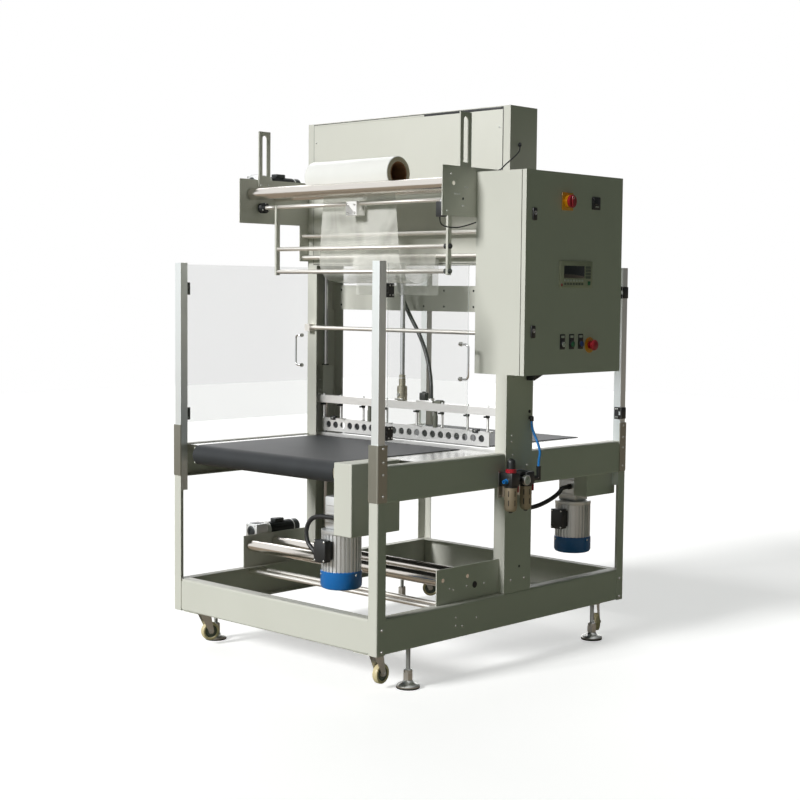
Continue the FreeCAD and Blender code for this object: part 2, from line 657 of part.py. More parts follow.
def belt(x0, x1):
    drop = 2 * (ROLLER_RADIUS + BELT_THICK)
    outside = stadium(x0, x1, RAIL_TOP - drop, RAIL_TOP, BELT_FRONT, BELT_REAR)
    inside = stadium(x0 + BELT_THICK, x1 - BELT_THICK, RAIL_TOP - drop + BELT_THICK, RAIL_TOP - BELT_THICK,
                     BELT_FRONT, BELT_REAR)
    return outside.cut(inside)


def roller_centres(x0, x1):
    reach = ROLLER_RADIUS + BELT_THICK
    return (x0 + reach, x1 - reach)


def belt_roller(x):
    z = RAIL_TOP - BELT_THICK - ROLLER_RADIUS
    plate_reach = SIDE_PLATE_GAP + SIDE_PLATE_THICK
    drum = crosswise(x, z, BELT_FRONT, BELT_REAR, ROLLER_RADIUS - BELT_CLEARANCE)
    shaft = crosswise(x, z, BELT_FRONT - plate_reach, BELT_REAR + plate_reach, JOURNAL_RADIUS)
    return fused([drum, shaft])


def conveyor_frame(x0, x1):
    z = RAIL_TOP - BELT_THICK - ROLLER_RADIUS
    plate_inside = BELT_FRONT - SIDE_PLATE_GAP
    plate_outside = plate_inside - SIDE_PLATE_THICK
    front = box(x0 + SIDE_PLATE_INSET, x1 - SIDE_PLATE_INSET, plate_outside, plate_inside,
                z - SIDE_PLATE_HEIGHT / 2.0, z + SIDE_PLATE_HEIGHT / 2.0)
    for x in roller_centres(x0, x1):
        front = front.cut(crosswise(x, z, plate_outside, plate_inside, JOURNAL_RADIUS + JOURNAL_CLEARANCE))
    rear = mirrored(front, (BELT_FRONT + BELT_REAR) / 2.0)
    clear_of_rollers = ROLLER_RADIUS + BELT_THICK + ROLLER_RADIUS + BED_ROLLER_GAP
    bed_top = RAIL_TOP - BELT_THICK - BELT_CLEARANCE
    bed = box(x0 + clear_of_rollers, x1 - clear_of_rollers, plate_inside, BELT_REAR + SIDE_PLATE_GAP,
              bed_top - BED_THICK, bed_top)
    return fused([front, rear, bed])


def conveyors():
    runs = ((0.0, INFEED_BELT_END), (OUTFEED_BELT_START, LENGTH))
    save("conveyor_belts", *[belt(x0, x1) for x0, x1 in runs])
    save("conveyor_frames", *[conveyor_frame(x0, x1) for x0, x1 in runs])
    save("belt_rollers", *[belt_roller(x) for x0, x1 in runs for x in roller_centres(x0, x1)])


def drive_motor(x, y, belt_side):
    """Worm gearbox with its shaft towards the belt drive at y = belt_side, and a flanged motor below it."""
    half = GEARBOX_SIZE / 2.0
    gearbox_top = RAIL_TOP - GEARBOX_DROP
    body_top = gearbox_top - GEARBOX_HEIGHT
    body_bottom = body_top - MOTOR_BODY_LENGTH
    cap_bottom = body_bottom - FAN_CAP_LENGTH
    gearbox = box(x - half, x + half, y - half, y + half, body_top, gearbox_top)
    body = upright(x, y, body_bottom, body_top, MOTOR_RADIUS)
    cap = upright(x, y, cap_bottom, body_bottom, FAN_CAP_RADIUS)
    cap = rounded(cap, FAN_CAP_BEND, lambda e: edge_middle(e).z < cap_bottom + 0.01 and e.Closed)
    junction_top = body_top - JUNCTION_DROP
    junction = box(x - MOTOR_RADIUS - JUNCTION_DEPTH, x, y - JUNCTION_WIDTH / 2.0,
                   y + JUNCTION_WIDTH / 2.0, junction_top - JUNCTION_HEIGHT, junction_top)
    shaft = crosswise(x, gearbox_top - half, belt_side, y, JOURNAL_RADIUS)
    return fused([gearbox, body, cap, junction, shaft])


def gland_towards(start, end, radius):
    """A round gland from start to end, with as much again sunk into the box that carries it."""
    along = end - start
    return Part.makeCylinder(radius, 2 * along.Length, start - along, along)


def junction_gland():
    """The slanted gland on the rear face of the infeed motor's junction box, from its face to its tip."""
    motor_y = BELT_FRONT - SIDE_PLATE_GAP - SIDE_PLATE_THICK + INFEED_MOTOR_BEHIND
    junction_top = RAIL_TOP - GEARBOX_DROP - GEARBOX_HEIGHT - JUNCTION_DROP
    face = Vector(INFEED_MOTOR_X - MOTOR_RADIUS - JUNCTION_DEPTH / 2.0, motor_y + JUNCTION_WIDTH / 2.0,
                  junction_top - JUNCTION_HEIGHT + CONDUIT_ABOVE_JUNCTION)
    tilt = math.radians(SLANTED_GLAND_TILT)
    return face, face + Vector(0, math.cos(tilt), math.sin(tilt)) * SLANTED_GLAND_LENGTH


def conveyor_drives():
    plate_outside = BELT_FRONT - SIDE_PLATE_GAP - SIDE_PLATE_THICK
    infeed_cover = box(0, COVER_LENGTH, plate_outside - COVER_DEPTH, plate_outside,
                       RAIL_TOP - COVER_HEIGHT, RAIL_TOP)
    table_underside = RAIL_TOP - RAIL_SHEET - TABLE_SHEET
    outfeed_cover_rear = OUTFEED_COVER_Y + OUTFEED_COVER_DEPTH
    cover_end = LENGTH - ANGLE_SHEET
    outfeed_cover = box(cover_end - OUTFEED_COVER_LENGTH, cover_end, OUTFEED_COVER_Y, outfeed_cover_rear,
                        RAIL_TOP - OUTFEED_COVER_DROP, table_underside)
    covers = [rounded(shape, COVER_EDGE, lambda e: True) for shape in (infeed_cover, outfeed_cover)]
    save("drive_covers", *covers)
    infeed = drive_motor(INFEED_MOTOR_X, plate_outside + INFEED_MOTOR_BEHIND, plate_outside)
    gland_start, gland_end = junction_gland()
    infeed = fused([infeed, gland_towards(gland_start, gland_end, GLAND_RADIUS)])
    outfeed = drive_motor(LENGTH - OUTFEED_MOTOR_INSET, outfeed_cover_rear + OUTFEED_MOTOR_BEHIND,
                          outfeed_cover_rear)
    save("drive_motors", infeed, outfeed)


def beam_gland_foot():
    """Where the sealing conduit stands on its gland on the beam."""
    across, along = SEALING_CONDUIT_FOOT
    return Vector(SEAL_X + across, SEAL_CENTRE_Y + along, BEAM_BOTTOM + BEAM_HEIGHT + BEAM_GLAND_HEIGHT)


def sealing_head():
    front_end = COLUMN_SHEET + BEAM_END_GAP
    rear_end = HEAD_DEPTH - front_end
    beam_top = BEAM_BOTTOM + BEAM_HEIGHT
    beam = box(SEAL_X - BEAM_WIDTH / 2.0, SEAL_X + BEAM_WIDTH / 2.0, front_end, rear_end,
               BEAM_BOTTOM, beam_top)
    foot = beam_gland_foot()
    save("sealing_beam", fused([beam, upright(foot.x, foot.y, beam_top, foot.z, GLAND_RADIUS)]))
    bar_top = BAR_BOTTOM + BAR_HEIGHT
    bar = box(SEAL_X - BAR_THICK / 2.0, SEAL_X + BAR_THICK / 2.0, BAR_FRONT, BAR_REAR, BAR_BOTTOM, bar_top)
    holes = []
    hole_count = 1 + int((BAR_REAR - BAR_FRONT - 2 * BAR_HOLE_MARGIN) / BAR_HOLE_PITCH)
    for index in range(hole_count):
        y = SEAL_CENTRE_Y + (index - (hole_count - 1) / 2.0) * BAR_HOLE_PITCH
        holes.append(lengthwise(y, BAR_BOTTOM + BAR_HEIGHT / 2.0, SEAL_X - BAR_THICK, SEAL_X + BAR_THICK,
                                BAR_HOLE_RADIUS))
    bar = bar.cut(Part.makeCompound(holes))
    posts = []
    end_offset = (BAR_REAR - BAR_FRONT) / 2.0 - BAR_POST_INSET
    for offset in BAR_POST_OFFSETS + (end_offset,):
        for side in (-1, 1):
            y = SEAL_CENTRE_Y + side * offset
            posts.append(upright(SEAL_X, y, bar_top, BEAM_BOTTOM, BAR_POST_RADIUS))
    save("sealing_bar", fused([bar] + posts))
    carriage_x0 = SEAL_X + BEAM_WIDTH / 2.0 - CARRIAGE_OVERLAP
    carriage_x1 = COLUMN_MIDDLE + CARRIAGE_WIDTH / 2.0
    shaft_y = COLUMN_DEPTH / 2.0
    carriage = box(carriage_x0, carriage_x1, shaft_y - CARRIAGE_DEPTH / 2.0, shaft_y + CARRIAGE_DEPTH / 2.0,
                   beam_top, beam_top + CARRIAGE_HEIGHT)
    carriage = carriage.cut(upright(COLUMN_MIDDLE, shaft_y, beam_top, beam_top + CARRIAGE_HEIGHT,
                                    SHAFT_RADIUS + SLIDE_CLEARANCE))
    save("slide_carriages", carriage, mirrored(carriage, HEAD_DEPTH / 2.0))
    clevis = upright(SEAL_X, SEAL_CENTRE_Y, beam_top, beam_top + CLEVIS_HEIGHT, CLEVIS_RADIUS)
    neck_top = beam_top + CLEVIS_HEIGHT + CLEVIS_NECK_HEIGHT
    neck = upright(SEAL_X, SEAL_CENTRE_Y, beam_top + CLEVIS_HEIGHT, neck_top, CLEVIS_NECK_RADIUS)
    rod = upright(SEAL_X, SEAL_CENTRE_Y, neck_top, HEAD_BOTTOM + ROD_END_ABOVE, ROD_RADIUS)
    save("lift_rod", fused([clevis, neck, rod]))


def cradle_plate():
    """Front film cradle plate with its leg and its slotted arm."""
    plate_end = COLUMN_X + CRADLE_OVERLAP
    plate = box(COLUMN_X - CRADLE_REACH, plate_end, -CRADLE_SHEET, 0, CRADLE_BOTTOM, CRADLE_TOP)
    leg = box(COLUMN_X - CRADLE_LEG_REACH, plate_end, -CRADLE_SHEET, 0, HEAD_BOTTOM + CRADLE_LEG_ABOVE,
              CRADLE_BOTTOM)
    middle = FEED_ROLLER_MIDDLE_X
    arm = box(middle - ARM_WIDTH / 2.0, middle + ARM_WIDTH / 2.0, 0, ARM_THICK, CRADLE_TOP - ARM_OVERLAP,
              ARM_TOP)
    half_slot = ARM_SLOT_WIDTH / 2.0
    slot = box(middle - half_slot, middle + half_slot, 0, ARM_THICK, CRADLE_TOP + ARM_SLOT_MARGIN,
               ARM_TOP - ARM_SLOT_MARGIN - half_slot)
    slot_end = crosswise(middle, ARM_TOP - ARM_SLOT_MARGIN - half_slot, 0, ARM_THICK, half_slot)
    piece = fused([plate, leg, arm]).cut(slot).cut(slot_end)
    for x in FEED_ROLLER_X:
        piece = piece.cut(crosswise(x, FEED_ROLLER_Z, -CRADLE_SHEET, ARM_THICK,
                                    FEED_JOURNAL_RADIUS + JOURNAL_CLEARANCE))
    hole = DANCER_PIN_RADIUS + JOURNAL_CLEARANCE
    return piece.cut(crosswise(DANCER_X, DANCER_PIVOT_Z, -CRADLE_SHEET, ARM_THICK, hole))


def lower_cradle_plate():
    plate = box(COLUMN_X - LOWER_CRADLE_REACH, COLUMN_X, LOWER_CRADLE_INSET,
                LOWER_CRADLE_INSET + CRADLE_SHEET, BASE_TOP, LOWER_CRADLE_TOP)
    for x in FEED_ROLLER_X:
        plate = plate.cut(crosswise(x, LOWER_ROLLER_Z, LOWER_CRADLE_INSET,
                                    LOWER_CRADLE_INSET + CRADLE_SHEET,
                                    FEED_JOURNAL_RADIUS + JOURNAL_CLEARANCE))
    return plate


def feed_roller(x, z, inside_front, inside_rear):
    """A polished roller whose journals pass through the plates on both sides."""
    drum = crosswise(x, z, inside_front + FEED_ROLLER_END_GAP, inside_rear - FEED_ROLLER_END_GAP,
                     FEED_ROLLER_RADIUS)
    shaft = crosswise(x, z, inside_front - CRADLE_SHEET, inside_rear + CRADLE_SHEET, FEED_JOURNAL_RADIUS)
    return fused([drum, shaft])


def film_cradles():
    upper = cradle_plate()
    lower = lower_cradle_plate()
    save("cradle_plates", upper, mirrored(upper, HEAD_DEPTH / 2.0))
    save("lower_cradle_plates", lower, mirrored(lower, WIDTH / 2.0))
    names = ("infeed_side", "outfeed_side")
    for name, x in zip(names, FEED_ROLLER_X):
        save("upper_roller_" + name, feed_roller(x, FEED_ROLLER_Z, 0.0, HEAD_DEPTH))
        lower_inside = LOWER_CRADLE_INSET + CRADLE_SHEET
        save("lower_roller_" + name, feed_roller(x, LOWER_ROLLER_Z, lower_inside, WIDTH - lower_inside))
    film_rods = [crosswise(FILM_ROD_X, z, 0.0, HEAD_DEPTH, FILM_ROD_RADIUS) for z in FILM_ROD_HEIGHTS]
    web_inside = ANGLE_SHEET + RAIL_SHEET
    guide_rods = [crosswise(COLUMN_X - reach, BASE_TOP - GUIDE_ROD_DROP, web_inside, WIDTH - web_inside,
                            GUIDE_ROD_RADIUS) for reach in GUIDE_RODS_REACH]
    save("film_rods", *(film_rods + guide_rods))


def guard_tube():
    tube = crosswise(GUARD_TUBE_X, GUARD_TUBE_Z, COLUMN_DEPTH / 2.0, HEAD_DEPTH - COLUMN_DEPTH / 2.0,
                     GUARD_TUBE_RADIUS)
    half = TUBE_CLAMP_SIZE / 2.0
    clamp = box(GUARD_TUBE_X - half, COLUMN_X, COLUMN_DEPTH / 2.0 - half, COLUMN_DEPTH / 2.0 + half,
                GUARD_TUBE_Z - half, GUARD_TUBE_Z + half)
    save("guard_tube", fused([tube, clamp, mirrored(clamp, HEAD_DEPTH / 2.0)]))


def roll_axis_z():
    reach = ROLL_RADIUS + FEED_ROLLER_RADIUS + ROLL_CLEARANCE
    return FEED_ROLLER_Z + math.sqrt(reach ** 2 - (FEED_ROLLER_SPACING / 2.0) ** 2)


def film_roll():
    x = FEED_ROLLER_MIDDLE_X
    z = roll_axis_z()
    roll_rear = ROLL_FRONT + ROLL_LENGTH
    outside = crosswise(x, z, ROLL_FRONT, roll_rear, ROLL_RADIUS)
    save("film_roll", outside.cut(crosswise(x, z, ROLL_FRONT, roll_rear, ROLL_CORE_RADIUS)))


def film_web():
    """The film: down from the roll between the rollers, round a slack loop and over the lower film rod."""
    web_x = DANCER_X + WEB_BEHIND_DANCER
    across = web_x - FEED_ROLLER_MIDDLE_X
    top = roll_axis_z() - math.sqrt((ROLL_RADIUS + WEB_GAP + WEB_THICK / 2.0) ** 2 - across ** 2)
    wrap = FILM_ROD_RADIUS + WEB_GAP + WEB_THICK / 2.0
    rod_z = FILM_ROD_HEIGHTS[0]
    rise_x = FILM_ROD_X - wrap
    fall_x = FILM_ROD_X + wrap
    loop_radius = (rise_x - web_x) / 2.0
    loop_bottom = HEAD_BOTTOM - WEB_LOOP_DROP
    loop_z = loop_bottom + loop_radius
    corners = [Vector(x, ROLL_FRONT, z) for x, z in (
        (web_x, top), (web_x, loop_z), (web_x + loop_radius, loop_bottom), (rise_x, loop_z),
        (rise_x, rod_z), (FILM_ROD_X, rod_z + wrap), (fall_x, rod_z), (fall_x, rod_z - WEB_TAIL))]
    path = Part.Wire([
        Part.LineSegment(corners[0], corners[1]).toShape(),
        Part.Arc(corners[1], corners[2], corners[3]).toShape(),
        Part.LineSegment(corners[3], corners[4]).toShape(),
        Part.Arc(corners[4], corners[5], corners[6]).toShape(),
        Part.LineSegment(corners[6], corners[7]).toShape(),
    ])
    outline = path.makeOffset2D(WEB_THICK / 2.0, 0, True, False)
    save("film_web", outline.extrude(Vector(0, ROLL_LENGTH, 0)))


def dancer_frame():
    arm_half = DANCER_ARM_WIDTH / 2.0
    arm_top = DANCER_PIVOT_Z + arm_half
    first_y, last_y = DANCER_ARM_Y
    pieces = []
    for y in DANCER_ARM_Y:
        pieces.append(box(DANCER_X - arm_half, DANCER_X + arm_half, y - DANCER_ARM_THICK / 2.0,
                          y + DANCER_ARM_THICK / 2.0, DANCER_PIVOT_Z - DANCER_ARM_LENGTH, arm_top))
    for drop in DANCER_ROD_DROPS:
        pieces.append(crosswise(DANCER_X, DANCER_PIVOT_Z - drop, first_y, last_y, DANCER_ROD_RADIUS))
    inner_front = ARM_THICK + DANCER_END_GAP
    inner_rear = HEAD_DEPTH - inner_front
    pieces.append(crosswise(DANCER_X, DANCER_PIVOT_Z, inner_front, inner_rear, DANCER_PIVOT_RADIUS))
    pieces.append(crosswise(DANCER_X, DANCER_PIVOT_Z, -CRADLE_SHEET, CRADLE_REAR, DANCER_PIN_RADIUS))
    pieces.append(crosswise(DANCER_X, DANCER_PIVOT_Z, inner_front, inner_front + DANCER_BEARING_LENGTH,
                            DANCER_BEARING_RADIUS))
    pieces.append(crosswise(DANCER_X, DANCER_PIVOT_Z, inner_rear - DANCER_BEARING_LENGTH, inner_rear,
                            DANCER_BEARING_RADIUS))
    half = DANCER_BLOCK_SIZE / 2.0
    pieces.append(box(DANCER_X - half, DANCER_X + half, DANCER_BLOCK_Y - DANCER_BLOCK_LENGTH / 2.0,
                      DANCER_BLOCK_Y + DANCER_BLOCK_LENGTH / 2.0,
                      DANCER_PIVOT_Z - DANCER_BLOCK_SIZE, DANCER_PIVOT_Z + DANCER_PIVOT_RADIUS))
    save("dancer_frame", fused(pieces))


def feed_gearmotor(x, z):
    """Worm gearbox with its motor along the belts, bolted outside a rear plate."""
    half = FEED_GEARBOX_SIZE / 2.0
    y0 = CRADLE_REAR
    y1 = y0 + FEED_GEARBOX_DEPTH
    middle_y = (y0 + y1) / 2.0
    gearbox = box(x - half, x + half, y0, y1, z - half, z + half)
    flange = lengthwise(middle_y, z, x + half, x + half + FEED_FLANGE_LENGTH, FEED_FLANGE_RADIUS)
    motor = lengthwise(middle_y, z, x + half + FEED_FLANGE_LENGTH,
                       x + half + FEED_FLANGE_LENGTH + FEED_MOTOR_LENGTH, FEED_MOTOR_RADIUS)
    return fused([gearbox, flange, motor])


def film_gearmotors():
    upper = feed_gearmotor(FEED_ROLLER_MIDDLE_X, CRADLE_TOP - UPPER_GEARBOX_DROP)
    lower = feed_gearmotor(FEED_ROLLER_MIDDLE_X, LOWER_CRADLE_TOP + LOWER_GEARBOX_ABOVE)
    save("film_gearmotors", upper, lower)


def cabinet_hinge(z):
    """Two knuckles on the cabinet's side, and the knuckle between them with its pin on the door."""
    x = CABINET_END + CABINET_HINGE_OUT
    y = CABINET_DOOR_BACK + CABINET_SEAM / 2.0
    third = CABINET_HINGE_LENGTH / 3.0
    low = z - CABINET_HINGE_LENGTH / 2.0
    high = z + CABINET_HINGE_LENGTH / 2.0
    leaf_end = CABINET_END + CABINET_HINGE_LEAF
    fixed = []
    for z0, z1 in ((low, low + third), (high - third, high)):
        fixed.append(upright(x, y, z0, z1, CABINET_HINGE_RADIUS))
        fixed.append(box(CABINET_END, leaf_end, y, y + CABINET_HINGE_REACH, z0, z1))
    fixed = fused(fixed).cut(upright(x, y, low, high, HINGE_PIN_RADIUS + HINGE_PIN_CLEARANCE))
    knuckle_low = low + third + HINGE_GAP
    knuckle_high = high - third - HINGE_GAP
    knuckle = upright(x, y, knuckle_low, knuckle_high, CABINET_HINGE_RADIUS)
    pin = upright(x, y, low, high, HINGE_PIN_RADIUS)
    leaf = box(CABINET_END, leaf_end, y - CABINET_HINGE_REACH, y, knuckle_low, knuckle_high)
    return fixed, fused([knuckle, pin, leaf])


def cabinet():
    back = -CABINET_BACK
    body_front = back - CABINET_DEPTH
    body = box(CABINET_X, CABINET_END, body_front, back, CABINET_BOTTOM, CABINET_TOP)
    inside = box(CABINET_X + RAIL_SHEET, CABINET_END - RAIL_SHEET, body_front, back - RAIL_SHEET,
                 CABINET_BOTTOM + RAIL_SHEET, CABINET_TOP - RAIL_SHEET)
    pieces = [body.cut(inside)]
    door = [box(CABINET_X, CABINET_END, CABINET_FRONT, CABINET_DOOR_BACK, CABINET_BOTTOM, CABINET_TOP)]
    for z in CABINET_HINGE_HEIGHTS:
        fixed, moving = cabinet_hinge(z)
        pieces.append(fixed)
        door.append(moving)
    save("cabinet_body", fused(pieces))
    save("cabinet_door", fused(door))


def door_device(across, z, width, height, thick):
    x = CABINET_X + across
    return box(x - width / 2.0, x + width / 2.0, CABINET_FRONT - thick, CABINET_FRONT,
               z - height / 2.0, z + height / 2.0)


def cabinet_devices():
    switch_z = CABINET_TOP - SWITCH_DOWN
    devices = [
        door_device(PANEL_ACROSS, CABINET_TOP - PANEL_DOWN, PANEL_WIDTH, PANEL_HEIGHT, PANEL_THICK),
        door_device(SWITCH_ACROSS, switch_z, SWITCH_PLATE, SWITCH_PLATE, SWITCH_PLATE_THICK),
        door_device(METER_ACROSS, CABINET_TOP - METER_DOWN, METER_WIDTH, METER_WIDTH, METER_THICK),
    ]
    for across in BUTTONS_ACROSS:
        devices.append(crosswise(CABINET_X + across, CABINET_BOTTOM + BUTTON_UP,
                                 CABINET_FRONT - BUTTON_LENGTH, CABINET_FRONT, BUTTON_RADIUS))
    stop_x = CABINET_X + STOP_ACROSS
    stop_z = CABINET_BOTTOM + STOP_UP
    ring = crosswise(stop_x, stop_z, CABINET_FRONT - STOP_RING_THICK, CABINET_FRONT, STOP_RING_RADIUS)
    neck = crosswise(stop_x, stop_z, FRONT_REACH, CABINET_FRONT, STOP_NECK_RADIUS)
    head = crosswise(stop_x, stop_z, FRONT_REACH, FRONT_REACH + STOP_LENGTH / 2.0, STOP_HEAD_RADIUS)
    devices.append(fused([ring, neck, head]))
    for z in (CABINET_BOTTOM + LATCH_INSET, CABINET_TOP - LATCH_INSET):
        devices.append(door_device(LATCH_ACROSS, z, LATCH_WIDTH, LATCH_HEIGHT, LATCH_THICK))
    save("door_devices", *devices)
    knob_back = CABINET_FRONT - SWITCH_PLATE_THICK - KNOB_GAP
    save("switch_knob", crosswise(CABINET_X + SWITCH_ACROSS, switch_z, knob_back - KNOB_LENGTH, knob_back,
                                  KNOB_RADIUS))


def air_unit():
    half = AIR_BODY_SIZE / 2.0
    pieces = [box(AIR_FIRST_X - half, AIR_SECOND_X + half, -AIR_BRACKET_THICK, 0,
                  AIR_BODY_BOTTOM, AIR_BODY_TOP)]
    for x in (AIR_FIRST_X, AIR_SECOND_X):
        pieces.append(box(x - half, x + half, -AIR_Y - half, -AIR_BRACKET_THICK,
                          AIR_BODY_BOTTOM, AIR_BODY_TOP))
        pieces.append(upright(x, -AIR_Y, AIR_BODY_BOTTOM - AIR_BOWL_LENGTH, AIR_BODY_BOTTOM, AIR_BOWL_RADIUS))
    pieces.append(upright(AIR_FIRST_X, -AIR_Y, AIR_BODY_TOP, AIR_BODY_TOP + AIR_KNOB_HEIGHT, AIR_KNOB_RADIUS))
    pieces.append(lengthwise(-AIR_Y, AIR_PORT_Z, AIR_FIRST_X, AIR_SECOND_X, half / 2.0))
    pieces.append(lengthwise(-AIR_Y, AIR_PORT_Z, AIR_SECOND_X, AIR_ELBOW.x, AIR_PIPE_RADIUS))
    elbow_low = AIR_PORT_Z - AIR_ELBOW_RADIUS
    pieces.append(upright(AIR_ELBOW.x, -AIR_Y, elbow_low, AIR_ELBOW.z, AIR_ELBOW_RADIUS))
    inlet_top = AIR_INLET.z + AIR_INLET_HEIGHT
    inlet = upright(AIR_INLET.x, AIR_INLET.y, AIR_INLET.z, inlet_top, AIR_INLET_RADIUS)
    stub = crosswise(AIR_INLET.x, inlet_top - AIR_INLET_RADIUS, AIR_INLET.y, 0, AIR_PIPE_RADIUS)
    save("air_unit", fused(pieces), fused([inlet, stub]))


def cord(node, radius, route, start, end):
    """A tube along a hand-laid route whose two ends are moved to their glands, with an arc at each point."""
    hung = [Vector(*point) for point in route]
    start_move = start - hung[0]
    end_move = end - hung[-1]
    points = []
    for index, point in enumerate(hung):
        share = min(max((index - 1) / (len(hung) - 3), 0.0), 1.0)
        points.append(point + start_move * (1.0 - share) + end_move * share)
    edges = []
    radii = []
    last = points[0]
    for before, corner, after in zip(points, points[1:], points[2:]):
        arriving = corner - before
        leaving = after - corner
        half_turn = arriving.getAngle(leaving) / 2.0
        reach = ARC_SHARE * min(arriving.Length, leaving.Length)
        first = corner - arriving * (reach / arriving.Length)
        second = corner + leaving * (reach / leaving.Length)
        inward = (first + second) * 0.5 - corner
        arc_radius = reach / math.tan(half_turn)
        depth = arc_radius / math.cos(half_turn) - arc_radius
        middle = corner + inward * (depth / inward.Length)
        edges.append(Part.LineSegment(last, first).toShape())
        edges.append(Part.Arc(first, middle, second).toShape())
        radii.append(round(arc_radius))
        last = second
    edges.append(Part.LineSegment(last, points[-1]).toShape())
    path = Part.Wire(edges)
    profile = Part.Wire([Part.Circle(points[0], points[1] - points[0], radius).toShape()])
    tube = path.makePipeShell([profile], True, False)
    share_of_volume = tube.Volume / (math.pi * radius ** 2 * path.Length)
    print(node, "length", round(path.Length), "radii", radii, "volume share", round(share_of_volume, 4))
    save(node, tube)


def cords():
    plate_outside = BELT_FRONT - SIDE_PLATE_GAP - SIDE_PLATE_THICK
    conduit_x = INFEED_MOTOR_X - MOTOR_RADIUS - JUNCTION_DEPTH / 2.0
    conduit_z = RAIL_TOP - INFEED_CONDUIT_DROP
    fittings = [crosswise(conduit_x, conduit_z, plate_outside, plate_outside + GLAND_LENGTH, GLAND_RADIUS)]
    cord("infeed_conduit", CONDUIT_RADIUS, INFEED_CONDUIT,
         Vector(conduit_x, plate_outside + GLAND_LENGTH, conduit_z), junction_gland()[1])

    column_y, gearbox_y = OUTFEED_CONDUIT_Y
    column_z, gearbox_z = [RAIL_TOP - drop for drop in OUTFEED_CONDUIT_DROPS]
    gearbox_x = LENGTH - OUTFEED_MOTOR_INSET - GEARBOX_SIZE / 2.0
    fittings.append(lengthwise(column_y, column_z, COLUMN_END, COLUMN_END + GLAND_LENGTH, GLAND_RADIUS))
    fittings.append(lengthwise(gearbox_y, gearbox_z, gearbox_x - GLAND_LENGTH, gearbox_x, GLAND_RADIUS))
    cord("outfeed_conduit", CONDUIT_RADIUS, OUTFEED_CONDUIT,
         Vector(COLUMN_END + GLAND_LENGTH, column_y, column_z),
         Vector(gearbox_x - GLAND_LENGTH, gearbox_y, gearbox_z))

    seal_x = SEAL_X + SEALING_CONDUIT_BEHIND_BAR
    seal_y = SEAL_CENTRE_Y + SEALING_CONDUIT_Y
    fittings.append(upright(seal_x, seal_y, HEAD_BOTTOM - GLAND_LENGTH, HEAD_BOTTOM, GLAND_RADIUS))
    cord("sealing_conduit", CONDUIT_RADIUS, SEALING_CONDUIT,
         Vector(seal_x, seal_y, HEAD_BOTTOM - GLAND_LENGTH), beam_gland_foot())

    cord("air_hose", AIR_HOSE_RADIUS, AIR_HOSE, AIR_INLET, AIR_ELBOW)

    head_face = Vector(COLUMN_X + HEAD_CABLE_ACROSS, 0, HEAD_BOTTOM + HEAD_CABLE_ABOVE)
    head_tip = head_face + HEAD_CABLE_TILT * CABLE_GLAND_LENGTH
    head_wall = box(COLUMN_X, COLUMN_END, 0, HEAD_DEPTH, HEAD_BOTTOM, HEAD_TOP)
    fittings.append(gland_towards(head_face, head_tip, CABLE_GLAND_RADIUS).cut(head_wall))
    cabinet_face = Vector(CABINET_X + CABINET_CABLE_ACROSS, -CABINET_BACK - CABINET_CABLE_BEHIND, CABINET_TOP)
    cabinet_tip = cabinet_face + CABINET_CABLE_TILT * CABLE_GLAND_LENGTH
    cabinet_wall = box(CABINET_X, CABINET_END, CABINET_FRONT, -CABINET_BACK, CABINET_BOTTOM, CABINET_TOP)
    fittings.append(gland_towards(cabinet_face, cabinet_tip, CABLE_GLAND_RADIUS).cut(cabinet_wall))
    cord("head_cable", CABLE_RADIUS, HEAD_CABLE, head_tip, cabinet_tip)

    switch_x = COLUMN_X - LIMIT_SWITCH_REACH
    switch_z = CRADLE_BOTTOM - LIMIT_SWITCH_BOTTOM_DROP
    switch_y, head_y = SENSOR_CABLE_Y
    fittings.append(box(switch_x, switch_x + LIMIT_SWITCH_WIDTH, 0, LIMIT_SWITCH_DEPTH,
                        switch_z, switch_z + LIMIT_SWITCH_HEIGHT))
    sensor_z = HEAD_BOTTOM + SENSOR_CABLE_ABOVE
    fittings.append(lengthwise(head_y, sensor_z, COLUMN_X - CABLE_GLAND_LENGTH, COLUMN_X, CABLE_GLAND_RADIUS))
    cord("sensor_cable", CABLE_RADIUS, SENSOR_CABLE,
         Vector(switch_x + LIMIT_SWITCH_WIDTH / 2.0, switch_y, switch_z),
         Vector(COLUMN_X - CABLE_GLAND_LENGTH, head_y, sensor_z))
    save("cable_fittings", *fittings)


def hinge_knuckles(x, y, z):
    """Outer knuckles with their leaf on a post, and the middle knuckle with its pin and door tongue."""
    third = HINGE_LENGTH / 3.0
    low = z - HINGE_LENGTH / 2.0
    high = z + HINGE_LENGTH / 2.0
    post_edge = ANGLE_SHEET + POST_SIZE
    leaf = box(post_edge, post_edge + HINGE_LEAF, y + HINGE_RADIUS + HINGE_GAP, y + HINGE_LEAF_WIDTH,
               low, high)
    fixed = [leaf]
    for z0, z1 in ((low, low + third), (high - third, high)):
        fixed.append(upright(x, y, z0, z1, HINGE_RADIUS))
        fixed.append(box(post_edge, post_edge + HINGE_LEAF, y, y + HINGE_RADIUS + HINGE_GAP, z0, z1))
    fixed = fused(fixed).cut(upright(x, y, low, high, HINGE_PIN_RADIUS + HINGE_PIN_CLEARANCE))
    knuckle = upright(x, y, low + third + HINGE_GAP, high - third - HINGE_GAP, HINGE_RADIUS)
    pin = upright(x, y, low, high, HINGE_PIN_RADIUS)
    tongue = box(x, DOOR_X, y - HINGE_LEAF, y, low + third + HINGE_GAP, high - third - HINGE_GAP)
    door_leaf = box(DOOR_X, DOOR_X + HINGE_LEAF_WIDTH, y - HINGE_LEAF, y, low, high)
    return fixed, fused([knuckle, pin, tongue, door_leaf])


